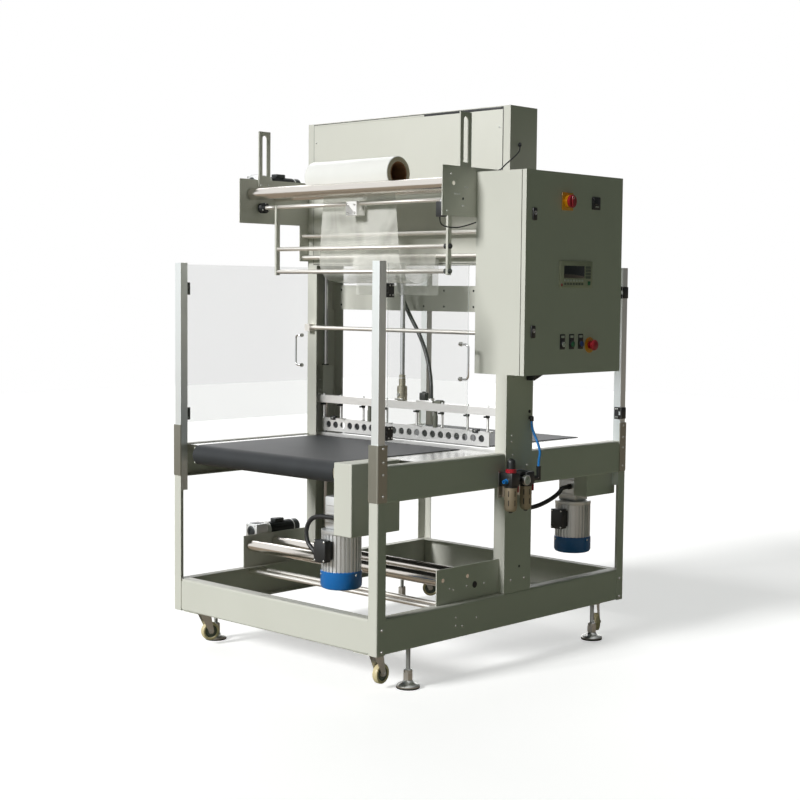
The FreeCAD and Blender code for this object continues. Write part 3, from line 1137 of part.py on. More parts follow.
def pull_handle(x, y, z, out):
    """A bent round bar with two feet on a pane's face at y, standing out by HANDLE_STAND."""
    low = z - HANDLE_SPAN / 2.0
    high = z + HANDLE_SPAN / 2.0
    grip_y = y + out * HANDLE_STAND
    bend_y = y + out * (HANDLE_STAND - HANDLE_BEND)
    cut = HANDLE_BEND * (1.0 - math.cos(math.pi / 4.0))
    corner_low = Vector(x, grip_y - out * cut, low + cut)
    corner_high = Vector(x, grip_y - out * cut, high - cut)
    path = Part.Wire([
        Part.LineSegment(Vector(x, y, low), Vector(x, bend_y, low)).toShape(),
        Part.Arc(Vector(x, bend_y, low), corner_low, Vector(x, grip_y, low + HANDLE_BEND)).toShape(),
        Part.LineSegment(Vector(x, grip_y, low + HANDLE_BEND),
                         Vector(x, grip_y, high - HANDLE_BEND)).toShape(),
        Part.Arc(Vector(x, grip_y, high - HANDLE_BEND), corner_high, Vector(x, bend_y, high)).toShape(),
        Part.LineSegment(Vector(x, bend_y, high), Vector(x, y, high)).toShape(),
    ])
    profile = Part.Wire([Part.Circle(Vector(x, y, low), Vector(0, 1, 0), HANDLE_RADIUS).toShape()])
    return path.makePipeShell([profile], True, False)


def clear_doors():
    axis_x = ANGLE_SHEET + POST_SIZE + HINGE_AXIS_OUT
    axis_y = ANGLE_SHEET + HINGE_LEAF
    fixed_leaves = []
    moving_leaves = []
    for z in HINGE_HEIGHTS:
        fixed, moving = hinge_knuckles(axis_x, axis_y, z)
        fixed_leaves.append(fixed)
        moving_leaves.append(moving)
    rear_fixed = [mirrored(shape, WIDTH / 2.0) for shape in fixed_leaves]
    spare = [mirrored_x(shape, LENGTH / 2.0) for shape in fixed_leaves]
    save("post_hinge_leaves", *(fixed_leaves + rear_fixed + spare))
    pane_y = axis_y
    front = box(DOOR_X, FRONT_DOOR_END, pane_y, pane_y + DOOR_THICK, DOOR_BOTTOM, DOOR_TOP)
    rear = box(DOOR_X, REAR_DOOR_END, WIDTH - pane_y - DOOR_THICK, WIDTH - pane_y, DOOR_BOTTOM, DOOR_TOP)
    save("front_door_pane", front)
    save("rear_door_pane", rear)
    front_handle = pull_handle(FRONT_DOOR_END - HANDLE_EDGE, pane_y, HANDLE_Z, -1)
    rear_handle = pull_handle(REAR_DOOR_END - HANDLE_EDGE, WIDTH - pane_y, HANDLE_Z, 1)
    save("front_door_fittings", front_handle, *moving_leaves)
    save("rear_door_fittings", rear_handle, *[mirrored(shape, WIDTH / 2.0) for shape in moving_leaves])


def levelling_feet():
    feet = []
    for x in (FOOT_FIRST_X, LENGTH - FOOT_LAST_INSET):
        for y in (FOOT_INSET, WIDTH - FOOT_INSET):
            pad = upright(x, y, 0, FOOT_PAD_THICK, FOOT_PAD_RADIUS)
            dome = Part.makeCone(FOOT_PAD_RADIUS - FOOT_PAD_EDGE, FOOT_SLEEVE_RADIUS, FOOT_DOME_HEIGHT,
                                 Vector(x, y, FOOT_PAD_THICK), Vector(0, 0, 1))
            dome_top = FOOT_PAD_THICK + FOOT_DOME_HEIGHT
            sleeve = upright(x, y, dome_top, dome_top + FOOT_SLEEVE_HEIGHT, FOOT_SLEEVE_RADIUS)
            stem = upright(x, y, FOOT_PAD_THICK, BASE_BOTTOM, FOOT_STEM_RADIUS)
            feet.append(fused([pad, dome, sleeve, stem]))
    save("levelling_feet", *feet)


def caster(x, y, turn):
    """Swivel fork and wheel under a corner plate, trailing towards the given heading in degrees."""
    plate_low = BASE_BOTTOM - CASTER_PLATE_THICK
    race_low = plate_low - CASTER_RACE_GAP - CASTER_RACE_HEIGHT
    race = upright(x, y, race_low, plate_low - CASTER_RACE_GAP, CASTER_RACE_RADIUS)
    axle_z = BASE_BOTTOM - CASTER_HEIGHT + CASTER_WHEEL_RADIUS
    axle_x = x + CASTER_TRAIL
    half_inside = CASTER_WHEEL_WIDTH / 2.0 + CASTER_SIDE_GAP
    half_outside = half_inside + CASTER_FORK_SHEET
    fork_half = CASTER_FORK_WIDTH / 2.0
    bridge_end = axle_x - FORK_BRIDGE_BACK
    bridge = box(x - fork_half, bridge_end, y - half_outside, y + half_outside, race_low - CASTER_FORK_SHEET,
                 race_low)
    cheeks = []
    for side in (-1, 1):
        y0, y1 = sorted((y + side * half_inside, y + side * half_outside))
        cheek = Part.Face(Part.makePolygon([
            Vector(x - fork_half, y0, race_low - CASTER_FORK_SHEET),
            Vector(bridge_end, y0, race_low - CASTER_FORK_SHEET),
            Vector(axle_x + FORK_TIP_BACK, y0, axle_z),
            Vector(axle_x + FORK_TIP_BACK - FORK_TIP_CHAMFER, y0, axle_z - FORK_TIP_DROP),
            Vector(axle_x - FORK_TIP_FRONT, y0, axle_z - FORK_TIP_DROP),
            Vector(x - fork_half, y0, race_low - CASTER_FORK_SHEET),
        ])).extrude(Vector(0, y1 - y0, 0))
        cheeks.append(cheek)
    axle = crosswise(axle_x, axle_z, y - half_outside, y + half_outside, CASTER_AXLE_RADIUS)
    fork = fused([race, bridge, axle] + cheeks)
    wheel = crosswise(axle_x, axle_z, y - CASTER_WHEEL_WIDTH / 2.0, y + CASTER_WHEEL_WIDTH / 2.0,
                      CASTER_WHEEL_RADIUS)
    wheel = rounded(wheel, CASTER_WHEEL_EDGE, lambda e: e.Closed and e.Length > math.pi * CASTER_WHEEL_RADIUS)
    wheel = wheel.cut(crosswise(axle_x, axle_z, y - CASTER_WHEEL_WIDTH, y + CASTER_WHEEL_WIDTH,
                                CASTER_AXLE_RADIUS + CASTER_AXLE_CLEARANCE))
    for shape in (fork, wheel):
        shape.rotate(Vector(x, y, 0), Vector(0, 0, 1), turn)
    return fork, wheel


def casters():
    near = CASTER_INSET
    places = {
        "front_infeed": (near, near),
        "front_outfeed": (LENGTH - near, near),
        "rear_infeed": (near, WIDTH - near),
        "rear_outfeed": (LENGTH - near, WIDTH - near),
    }
    for (name, (x, y)), turn in zip(places.items(), CASTER_TURNS):
        fork, wheel = caster(x, y, turn)
        save("caster_fork_" + name, fork)
        save("caster_wheel_" + name, wheel)


os.makedirs("parts", exist_ok=True)
base_rails()
corner_pieces()
belt_height_rails()
side_tables()
portal()
lift_cylinder()
conveyors()
conveyor_drives()
sealing_head()
film_cradles()
guard_tube()
film_roll()
film_web()
dancer_frame()
film_gearmotors()
cabinet()
cabinet_devices()
air_unit()
cords()
clear_doors()
levelling_feet()
casters()
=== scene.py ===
import math
import json

import bmesh
import bpy
from mathutils import Matrix, Vector

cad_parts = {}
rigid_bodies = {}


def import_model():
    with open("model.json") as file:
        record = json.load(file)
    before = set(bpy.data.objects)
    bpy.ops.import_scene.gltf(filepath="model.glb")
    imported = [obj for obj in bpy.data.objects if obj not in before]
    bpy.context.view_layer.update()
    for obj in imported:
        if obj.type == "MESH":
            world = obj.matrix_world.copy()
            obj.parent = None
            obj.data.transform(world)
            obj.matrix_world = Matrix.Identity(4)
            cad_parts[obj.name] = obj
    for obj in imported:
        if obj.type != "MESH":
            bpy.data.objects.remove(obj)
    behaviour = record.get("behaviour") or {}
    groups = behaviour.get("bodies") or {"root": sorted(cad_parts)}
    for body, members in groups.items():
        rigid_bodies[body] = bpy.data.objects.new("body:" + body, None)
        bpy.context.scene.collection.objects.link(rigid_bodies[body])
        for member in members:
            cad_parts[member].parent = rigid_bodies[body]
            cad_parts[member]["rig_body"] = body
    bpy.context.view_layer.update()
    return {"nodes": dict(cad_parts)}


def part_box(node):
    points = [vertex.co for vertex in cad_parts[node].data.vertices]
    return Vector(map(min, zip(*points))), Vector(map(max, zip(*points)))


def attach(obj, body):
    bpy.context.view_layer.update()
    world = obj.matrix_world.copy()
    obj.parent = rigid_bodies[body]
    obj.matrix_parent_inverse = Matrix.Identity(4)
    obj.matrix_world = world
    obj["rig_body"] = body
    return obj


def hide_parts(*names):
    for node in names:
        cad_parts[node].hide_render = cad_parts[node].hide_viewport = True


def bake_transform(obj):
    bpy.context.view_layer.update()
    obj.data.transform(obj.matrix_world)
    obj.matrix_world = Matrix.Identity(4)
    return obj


# Camera: it stands at the infeed end on the operator's side, a little above the middle of the machine,
# and looks slightly down, as a photographer at about four metres does with a medium lens.
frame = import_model()
scene = bpy.context.scene
scene.view_settings.view_transform = "Standard"
MIDDLE_X, MIDDLE_Y = 750.0, 461.5


def at(x, y, z):
    """A point in metres from millimetres: x from the infeed end, y from the front, z from the floor."""
    return Vector(((x - MIDDLE_X) / 1000.0, (y - MIDDLE_Y) / 1000.0, z / 1000.0))


CAMERA_PLACE = at(-3802.5, -3719.1, 1448.3)
CAMERA_YAW = math.radians(43.55)
CAMERA_DOWN = math.radians(4.08)
CAMERA_ROLL = math.radians(0.53)
SENSOR_WIDTH = 36.0
FOCAL_LENGTH = 68.33
forward = Vector((math.cos(CAMERA_DOWN) * math.cos(CAMERA_YAW),
                  math.cos(CAMERA_DOWN) * math.sin(CAMERA_YAW), -math.sin(CAMERA_DOWN)))
level = Vector((math.sin(CAMERA_YAW), -math.cos(CAMERA_YAW), 0.0))
above = level.cross(forward)
side = level * math.cos(CAMERA_ROLL) + above * math.sin(CAMERA_ROLL)
above = above * math.cos(CAMERA_ROLL) - level * math.sin(CAMERA_ROLL)
camera_data = bpy.data.cameras.new("camera")
camera_data.sensor_fit = "HORIZONTAL"
camera_data.sensor_width = SENSOR_WIDTH
camera_data.lens = FOCAL_LENGTH
camera_data.clip_end = 60.0
camera = bpy.data.objects.new("camera", camera_data)
scene.collection.objects.link(camera)
turned = Matrix((side, above, -forward)).transposed().to_4x4()
camera.matrix_world = Matrix.Translation(CAMERA_PLACE) @ turned
scene.camera = camera


# Conduits: black corrugated nylon tube, 18 mm outside, in rings of 6 mm pitch. One runs from the infeed
# belt's cover down to its motor, one from the column to the outfeed gearmotor, and one hangs behind the
# lift rod down to the sealing head.
def linear(code):
    """An sRGB hex value as a linear colour."""
    parts = [int(code[i:i + 2], 16) / 255.0 for i in (1, 3, 5)]
    return tuple(c / 12.92 if c <= 0.04045 else ((c + 0.055) / 1.055) ** 2.4 for c in parts) + (1.0,)


def add(tree, kind, settings=(), links=()):
    """Adds a node, sets its sockets or properties by name or number, and links the given sockets."""
    node = tree.nodes.new(kind)
    for key, value in dict(settings).items():
        if isinstance(key, int) or key in node.inputs:
            node.inputs[key].default_value = value
        else:
            setattr(node, key, value)
    for key, socket in dict(links).items():
        tree.links.new(socket, node.inputs[key])
    return node


def toned(name, colours, noise, stretch=None, **shader):
    """A surface whose colour drifts between two tones with a noise; also gives its tree, noise and place."""
    material = bpy.data.materials.new(name)
    material.use_nodes = True
    tree = material.node_tree
    sockets = tree.nodes["Principled BSDF"].inputs
    for key, value in shader.items():
        sockets[key.replace("_", " ")].default_value = value
    place = add(tree, "ShaderNodeTexCoord").outputs["Object"]
    field = place
    if stretch:
        field = add(tree, "ShaderNodeMapping", {"Scale": stretch}, {"Vector": place}).outputs["Vector"]
    drift = add(tree, "ShaderNodeTexNoise", noise, {"Vector": field}).outputs["Fac"]
    tone = add(tree, "ShaderNodeMix", {"data_type": "RGBA", 6: linear(colours[0]), 7: linear(colours[1])},
               {0: drift})
    tree.links.new(tone.outputs[2], sockets["Base Color"])
    return material, tree, drift, place


def finish(name, colours, patch_mm, grain_mm, bump, **shader):
    """A surface whose colour drifts between two near tones over patch_mm, with a grain of grain_mm."""
    material, tree, _, place = toned(name, colours, {"Scale": 1000.0 / patch_mm, "Detail": 3.0}, **shader)
    grain = add(tree, "ShaderNodeTexNoise", {"Scale": 1000.0 / grain_mm, "Detail": 2.0}, {"Vector": place})
    relief = add(tree, "ShaderNodeBump", {"Strength": bump, "Distance": 0.0005},
                 {"Height": grain.outputs["Fac"]})
    tree.links.new(relief.outputs["Normal"], tree.nodes["Principled BSDF"].inputs["Normal"])
    return material


# Nylon is near black and half matt, with a soft line of light along each ring.
nylon_conduit = finish("corrugated_nylon", ("#1B1C1D", "#26282A"), 40, 3, 0.1, Roughness=0.45, IOR=1.53)
CONDUIT_RADIUS = 0.009
GROOVE_DEPTH = 0.0016
RIB_PITCH = 0.006


def spline_curve(name, points):
    """A curve of one open NURBS spline with the given control points."""
    data = bpy.data.curves.new(name, "CURVE")
    data.dimensions = "3D"
    data.resolution_u = 16
    spline = data.splines.new("NURBS")
    spline.points.add(len(points) - 1)
    for control, point in zip(spline.points, points):
        control.co = (*at(*point), 1.0)
    spline.order_u = 3
    spline.use_endpoint_u = True
    curve = bpy.data.objects.new(name, data)
    scene.collection.objects.link(curve)
    return curve


def spline_path(points):
    """The points that the smooth line through the route has, in order."""
    curve = spline_curve("route", points)
    bpy.context.view_layer.update()
    line = bpy.data.meshes.new_from_object(curve.evaluated_get(bpy.context.evaluated_depsgraph_get()))
    path = [vertex.co.copy() for vertex in line.vertices]
    data = curve.data
    bpy.data.objects.remove(curve)
    bpy.data.curves.remove(data)
    bpy.data.meshes.remove(line)
    return path


def even_stations(path, pitch):
    """Points along a path at nearly the given pitch, with its first and last points."""
    total = sum((b - a).length for a, b in zip(path, path[1:]))
    count = max(2, round(total / pitch))
    step = total / count
    stations = [path[0].copy()]
    travelled = 0.0
    for a, b in zip(path, path[1:]):
        run = (b - a).length
        while run and travelled + run >= step * len(stations) - 1e-9 and len(stations) < count:
            stations.append(a.lerp(b, (step * len(stations) - travelled) / run))
        travelled += run
    stations.append(path[-1].copy())
    return stations


def put_together(name, form, materials, body, node=None, smooth=35.0):
    """Turns a bmesh into a piece that rides on a body, smooth but for edges sharper than the angle."""
    mesh = bpy.data.meshes.new(name)
    form.normal_update()
    form.to_mesh(mesh)
    form.free()
    for material in materials:
        mesh.materials.append(material)
    mesh.shade_smooth()
    mesh.set_sharp_from_angle(angle=math.radians(smooth))
    piece = bpy.data.objects.new(name, mesh)
    scene.collection.objects.link(piece)
    if body:
        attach(piece, body)
    if node:
        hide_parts(node)
    return piece


def ribbed_tube(name, points, body, node):
    """A corrugated tube whose rings are swept along the route's smooth line."""
    path = spline_path(points)
    stations = even_stations(path, RIB_PITCH / 2.0)
    made = bmesh.new()
    heading = (stations[1] - stations[0]).normalized()
    turn = heading.to_track_quat("Z", "Y").to_matrix().to_4x4()
    bmesh.ops.create_circle(made, cap_ends=True, segments=14, radius=CONDUIT_RADIUS,
                            matrix=Matrix.Translation(stations[0]) @ turn)
    cap = made.faces[:][0]
    cap.normal_flip()
    rim = cap.edges[:]
    radius = CONDUIT_RADIUS
    last = stations[0]
    for index, station in enumerate(stations[1:], 1):
        following = stations[min(index + 1, len(stations) - 1)]
        new_heading = (following - stations[index - 1]).normalized()
        new_radius = CONDUIT_RADIUS - GROOVE_DEPTH * (index % 2)
        swept = bmesh.ops.extrude_edge_only(made, edges=rim)["geom"]
        rim = [item for item in swept
               if isinstance(item, bmesh.types.BMEdge) and all(v in swept for v in item.verts)]
        ring = [item for item in swept if isinstance(item, bmesh.types.BMVert)]
        bend = heading.rotation_difference(new_heading).to_matrix().to_4x4()
        swell = Matrix.Scale(new_radius / radius, 4)
        bmesh.ops.transform(made, verts=ring,
                            matrix=Matrix.Translation(station) @ bend @ swell @ Matrix.Translation(-last))
        heading, radius, last = new_heading, new_radius, station
    bmesh.ops.contextual_create(made, geom=rim)
    bmesh.ops.recalc_face_normals(made, faces=made.faces[:])
    tube = put_together(name, made, [nylon_conduit], body, node, 60.0)
    return tube


INFEED_CONDUIT = ((20, 236, 622), (20, 275, 622), (20, 322, 620), (20, 363, 608), (20, 388.6, 572.6),
                  (20, 388.6, 530.9), (20, 372.5, 503.108), (20, 344.6, 487))
OUTFEED_CONDUIT = ((879, 34, 596), (940, 34, 596), (1045, 58, 606), (1148, 96, 615), (1236, 140, 622),
                   (1294, 178, 628), (1340, 178, 628))
SEALING_CONDUIT = ((790, 670, 1545), (790, 670, 1500), (790, 640, 1425), (790, 596, 1352),
                   (790, 545, 1283), (785, 498, 1206), (772, 461, 1122), (757, 440, 1062), (757, 440, 1016))
ribbed_tube("infeed_conduit_tube", INFEED_CONDUIT, "frame", "infeed_conduit")
ribbed_tube("outfeed_conduit_tube", OUTFEED_CONDUIT, "frame", "outfeed_conduit")
sealing_tube = ribbed_tube("sealing_conduit_tube", SEALING_CONDUIT, None, "sealing_conduit")
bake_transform(sealing_tube)


# Air hose and two thin cables: blue polyurethane tube of 10 mm from the column to the air unit, and
# black round cables of 5 mm from the head to the cabinet and from the limit switch to the head.
# Extruded plastic has an even colour and a soft shine.
blue_hose = finish("extruded_polyurethane", ("#1C78C6", "#2A8BDA"), 60, 2, 0.03, Roughness=0.28, IOR=1.5)
cable_sheath = finish("pvc_cable_sheath", ("#121314", "#1C1D1E"), 60, 2, 0.05, Roughness=0.5, IOR=1.52)
AIR_HOSE = ((847, -12, 948), (847, -12, 925), (850, -24, 895), (851, -42, 862), (853, -53, 826),
            (853, -45, 797), (853, -45, 773))
HEAD_CABLE = ((753, -8.25, 2008.3), (735, -24.75, 1990.9), (697.4, -38.6, 1969.4), (657.6, -42.8, 1946.5),
              (620.75, -40.05, 1922.06), (601.25, -38.75, 1904.9))
SENSOR_CABLE = ((338, 25, 1722), (338, 25, 1702), (360, 26, 1690), (402, 28, 1686), (452, 29, 1688),
                (510, 29, 1701), (575, 29, 1719), (640, 29, 1731), (690, 29, 1731))


def round_cord(name, points, radius, material, node):
    """A plain round hose or cable along its route."""
    path = spline_path(points)
    curve = spline_curve(name, points)
    curve.data.bevel_depth = radius
    curve.data.bevel_resolution = 4
    curve.data.use_fill_caps = True
    curve.data.materials.append(material)
    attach(curve, "frame")
    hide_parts(node)


round_cord("air_hose_tube", AIR_HOSE, 0.005, blue_hose, "air_hose")
round_cord("head_cable_line", HEAD_CABLE, 0.0025, cable_sheath, "head_cable")
round_cord("sensor_cable_line", SENSOR_CABLE, 0.0025, cable_sheath, "sensor_cable")


# Painted sheet steel: base rails, corner angles, belt-height rails, columns, head and cradle plates are
# folded from 3 to 4 mm sheet and powder coated in one warm grey. The coat has a fine texture of about a
# millimetre, drawn at 3 mm so that it shows.
powder_coat = finish("powder_coated_steel", ("#C8C8BE", "#CFCFC6"), 240, 3, 0.12, Roughness=0.55, IOR=1.5)


def coat(material, *nodes):
    """Gives carried-over nodes one finish."""
    for node in nodes:
        mesh = frame["nodes"][node].data
        mesh.materials.clear()
        mesh.materials.append(material)


coat(powder_coat, "base_side_rails", "base_end_rails", "corner_angles", "mid_rails", "columns",
     "head_housing", "cross_plate", "conveyor_frames", "drive_covers", "slide_carriages", "cradle_plates",
     "lower_cradle_plates", "cabinet_body", "cabinet_door")


# Posts, brackets and side tables: anodised aluminium square tube, brushed stainless angles bolted over
# the post feet, and bright rolled stainless sheet along the belts.
def drawn_metal(name, colours, stretch, roughness, grain_mm=1.5, bump=0.06):
    """A metal with fine lines along one direction, left by drawing, brushing or grinding."""
    material, tree, streaks, _ = toned(name, colours, {"Scale": 1000.0 / grain_mm, "Detail": 4.0}, stretch,
                                       Metallic=1.0)
    sockets = tree.nodes["Principled BSDF"].inputs
    level = add(tree, "ShaderNodeMapRange", {3: roughness - 0.06, 4: roughness + 0.08}, {0: streaks})
    tree.links.new(level.outputs["Result"], sockets["Roughness"])
    relief = add(tree, "ShaderNodeBump", {"Strength": bump, "Distance": 0.0003}, {"Height": streaks})
    tree.links.new(relief.outputs["Normal"], sockets["Normal"])
    return material


# Anodised aluminium is pale and satin, brushed stainless is darker and streaked, rolled stainless mirrors.
anodised_aluminium = drawn_metal("anodised_aluminium", ("#DFE6E6", "#EAEFEF"), (1, 1, 0.02), 0.42)
brushed_stainless = drawn_metal("brushed_stainless", ("#93948B", "#A4A59B"), (1, 1, 0.03), 0.34)
rolled_stainless = drawn_metal("rolled_stainless", ("#9FA09C", "#AFAFAB"), (0.02, 1, 1), 0.2)
coat(anodised_aluminium, "guard_posts")
coat(brushed_stainless, "post_brackets")
coat(rolled_stainless, "side_tables")


# Ground and machined pieces: the guide shafts, the lower jaw, the beam and bar of the sealing head, and
# the barrel of the air cylinder in the head.
ground_steel = drawn_metal("ground_steel", ("#BFC0C1", "#CCCDCE"), (1, 1, 0.05), 0.14)
machined_aluminium = drawn_metal("machined_aluminium", ("#E4E4E2", "#F0F0EE"), (1, 0.03, 1), 0.42, 1.5,
                                 0.03)
coat(ground_steel, "guide_shafts")
coat(machined_aluminium, "lower_jaw", "lift_cylinder", "sealing_beam", "sealing_bar")


# Rollers and rods: polished tube for the feed rollers and the belt rollers, and satin drawn bar for the
# film rods and the guard tube.
polished_tube = drawn_metal("polished_roller_tube", ("#D9D4CD", "#E6E2DC"), (1, 0.015, 1), 0.17, 3.0, 0.02)
satin_bar = drawn_metal("satin_drawn_bar", ("#EEECE6", "#F6F4EF"), (1, 0.02, 1), 0.42, 1.5, 0.03)
coat(polished_tube, "upper_roller_infeed_side", "upper_roller_outfeed_side", "lower_roller_infeed_side",
     "lower_roller_outfeed_side", "belt_rollers")
coat(satin_bar, "film_rods", "guard_tube")


# Belts: two endless PVC conveyor belts, near black with a dull shine and faint patches of wear.
belt_cover = finish("pvc_belt_cover", ("#2A2C2E", "#34373A"), 90, 2.5, 0.2, Roughness=0.55, IOR=1.52,
                    Specular_IOR_Level=0.25)
coat(belt_cover, "conveyor_belts")


# Drive motors: a worm gearmotor hangs under each belt's drive cover. Gearbox and finned body are die-cast
# aluminium, the fan cap is enamelled sheet, and the junction box is moulded nylon with a screwed lid.
def join(maker, form, slot):
    """Adds a form made on its own, in one material slot, to the piece."""
    for face in form.faces:
        face.material_index = slot
    mesh = bpy.data.meshes.new("form")
    form.to_mesh(mesh)
    form.free()
    maker.from_mesh(mesh)
    bpy.data.meshes.remove(mesh)


UP, DOWN = (0, 0, 1), (0, 0, -1)
TO_FRONT, TO_REAR = (0, -1, 0), (0, 1, 0)
TO_INFEED, TO_OUTFEED = (-1, 0, 0), (1, 0, 0)


def drum(radius, low, high):
    """The profile of a plain drum between two distances along its axis."""
    return (low, 0), (low, radius), (high, radius), (high, 0)


def tapered(radius, top, low, shoulder, high):
    """The profile of a drum that narrows from its shoulder to the radius at its top."""
    return (low, 0), (low, radius), (shoulder, radius), (high, top), (high, 0)


def lathe(maker, start, axis, profile, slot=0, segments=32):
    """Turns a profile of distances along an axis and radii, in millimetres, into a closed round form."""
    origin = at(*start)
    axis = Vector(axis).normalized()
    across = axis.orthogonal().normalized()
    form = bmesh.new()
    line = [form.verts.new(origin + axis * (along / 1000.0) + across * (radius / 1000.0))
            for along, radius in profile]
    edges = [form.edges.new(pair) for pair in zip(line, line[1:])]
    if profile[0][1] and profile[-1][1]:
        edges.append(form.edges.new((line[-1], line[0])))
    bmesh.ops.spin(form, geom=line + edges, cent=origin, axis=axis, angle=math.tau, steps=segments,
                   use_merge=True)
    bmesh.ops.remove_doubles(form, verts=form.verts[:], dist=1e-6)
    bmesh.ops.recalc_face_normals(form, faces=form.faces[:])
    join(maker, form, slot)


def block(maker, low, high, rounding=0.0, slot=0, turn=None):
    """A block between two corners in drawing millimetres, its edges rounded, turned about its middle."""
    first, last = at(*low), at(*high)
    place = Matrix.Translation((first + last) / 2.0)
    if turn is not None:
        place = place @ turn
    form = bmesh.new()
    bmesh.ops.create_cube(form, size=1.0, matrix=place @ Matrix.Diagonal((*(last - first), 1.0)))
    if rounding:
        bmesh.ops.bevel(form, geom=form.edges[:], offset=rounding / 1000.0, offset_type="OFFSET",
                        segments=2, profile=0.5, affect="EDGES", material=-1, clamp_overlap=True)
    join(maker, form, slot)


def screw(maker, place, axis, across, slot=0):
    """A button-head socket screw on its washer, across millimetres over the head."""
    r = across / 2.0
    lathe(maker, place, axis, ((-0.4, 0), (-0.4, 1.3 * r), (0.2 * r, 1.3 * r), (0.2 * r, r),
                               (0.6 * r, 0.92 * r), (0.95 * r, 0.62 * r), (r, 0.48 * r),
                               (0.5 * r, 0.44 * r), (0.5 * r, 0)), slot, 14)


def hexagon(maker, start, axis, radius, height, slot=0):
    """A hexagon nut or bolt head with its corners taken off."""
    c = 0.12 * radius
    lathe(maker, start, axis, ((0, 0), (0, radius - c), (c, radius), (height - c, radius),
                               (height, radius - c), (height, 0)), slot, 6)


def rod(maker, start, end, radius, slot=0, segments=20):
    """A round bar between two points with its ends chamfered."""
    chamfer = 1.0
    along = Vector(end) - Vector(start)
    length = along.length
    lathe(maker, start, along, ((0, 0), (0, radius - chamfer), (chamfer, radius),
                                (length - chamfer, radius), (length, radius - chamfer), (length, 0)), slot,
          segments)


def finned_body(maker, start, axis, length, core, fin, count, slot):
    """A round motor body whose every second strip stands out as a cooling fin."""
    axis = Vector(axis).normalized()
    turn = axis.to_track_quat("Z", "Y").to_matrix().to_4x4()
    middle = at(*start) + axis * (length / 2000.0)
    form = bmesh.new()
    bmesh.ops.create_cone(form, cap_ends=True, segments=2 * count, radius1=core / 1000.0,
                          radius2=core / 1000.0, depth=length / 1000.0,
                          matrix=Matrix.Translation(middle) @ turn)
    strips = [face for face in form.faces if len(face.verts) == 4]
    sideways = turn.to_3x3() @ Vector((1, 0, 0))
    upwards = axis.cross(sideways)
    raised = []
    for face in strips:
        angle = math.atan2(face.normal.dot(upwards), face.normal.dot(sideways)) % math.tau
        if int(angle / math.tau * 2 * count) % 2 == 0:
            raised.append(face)
    for face in bmesh.ops.extrude_discrete_faces(form, faces=raised)["faces"]:
        bmesh.ops.translate(form, verts=face.verts[:], vec=face.normal * (fin / 1000.0))
    join(maker, form, slot)


def gland(maker, start, end, radius):
    """A cable gland: a hexagon body screwed into the wall and a round clamping nut over the cord."""
    along = Vector(end) - Vector(start)
    length = along.length
    hexagon(maker, start, along, radius, 0.45 * length)
    nut = Vector(start) + along * 0.45
    lathe(maker, nut, along, tapered(0.92 * radius, 0.76 * radius, 0, 0.35 * length, 0.55 * length), 0, 20)


# Die-cast aluminium is light grey with a sandy skin, the enamel is smooth blue, moulded nylon is matt black,
# and zinc plate is a pale bluish metal.
die_cast_aluminium = finish("die_cast_aluminium", ("#D3D5D5", "#DFE1E1"), 60, 2.5, 0.25, Metallic=0.7,
                            Roughness=0.38)
fan_cap_enamel = finish("blue_fan_cap_enamel", ("#0B63A9", "#0E6DB8"), 90, 4, 0.08, Roughness=0.3, IOR=1.5)
moulded_black = finish("moulded_black_nylon", ("#17191A", "#212426"), 50, 2, 0.12, Roughness=0.42, IOR=1.53)
zinc_plate = finish("zinc_plated_steel", ("#BFC1BE", "#D0D1CE"), 15, 2, 0.08, Metallic=1.0, Roughness=0.28)
INFEED_MOTOR = (115.0, 299.0)
OUTFEED_MOTOR = (1397.0, 195.0)


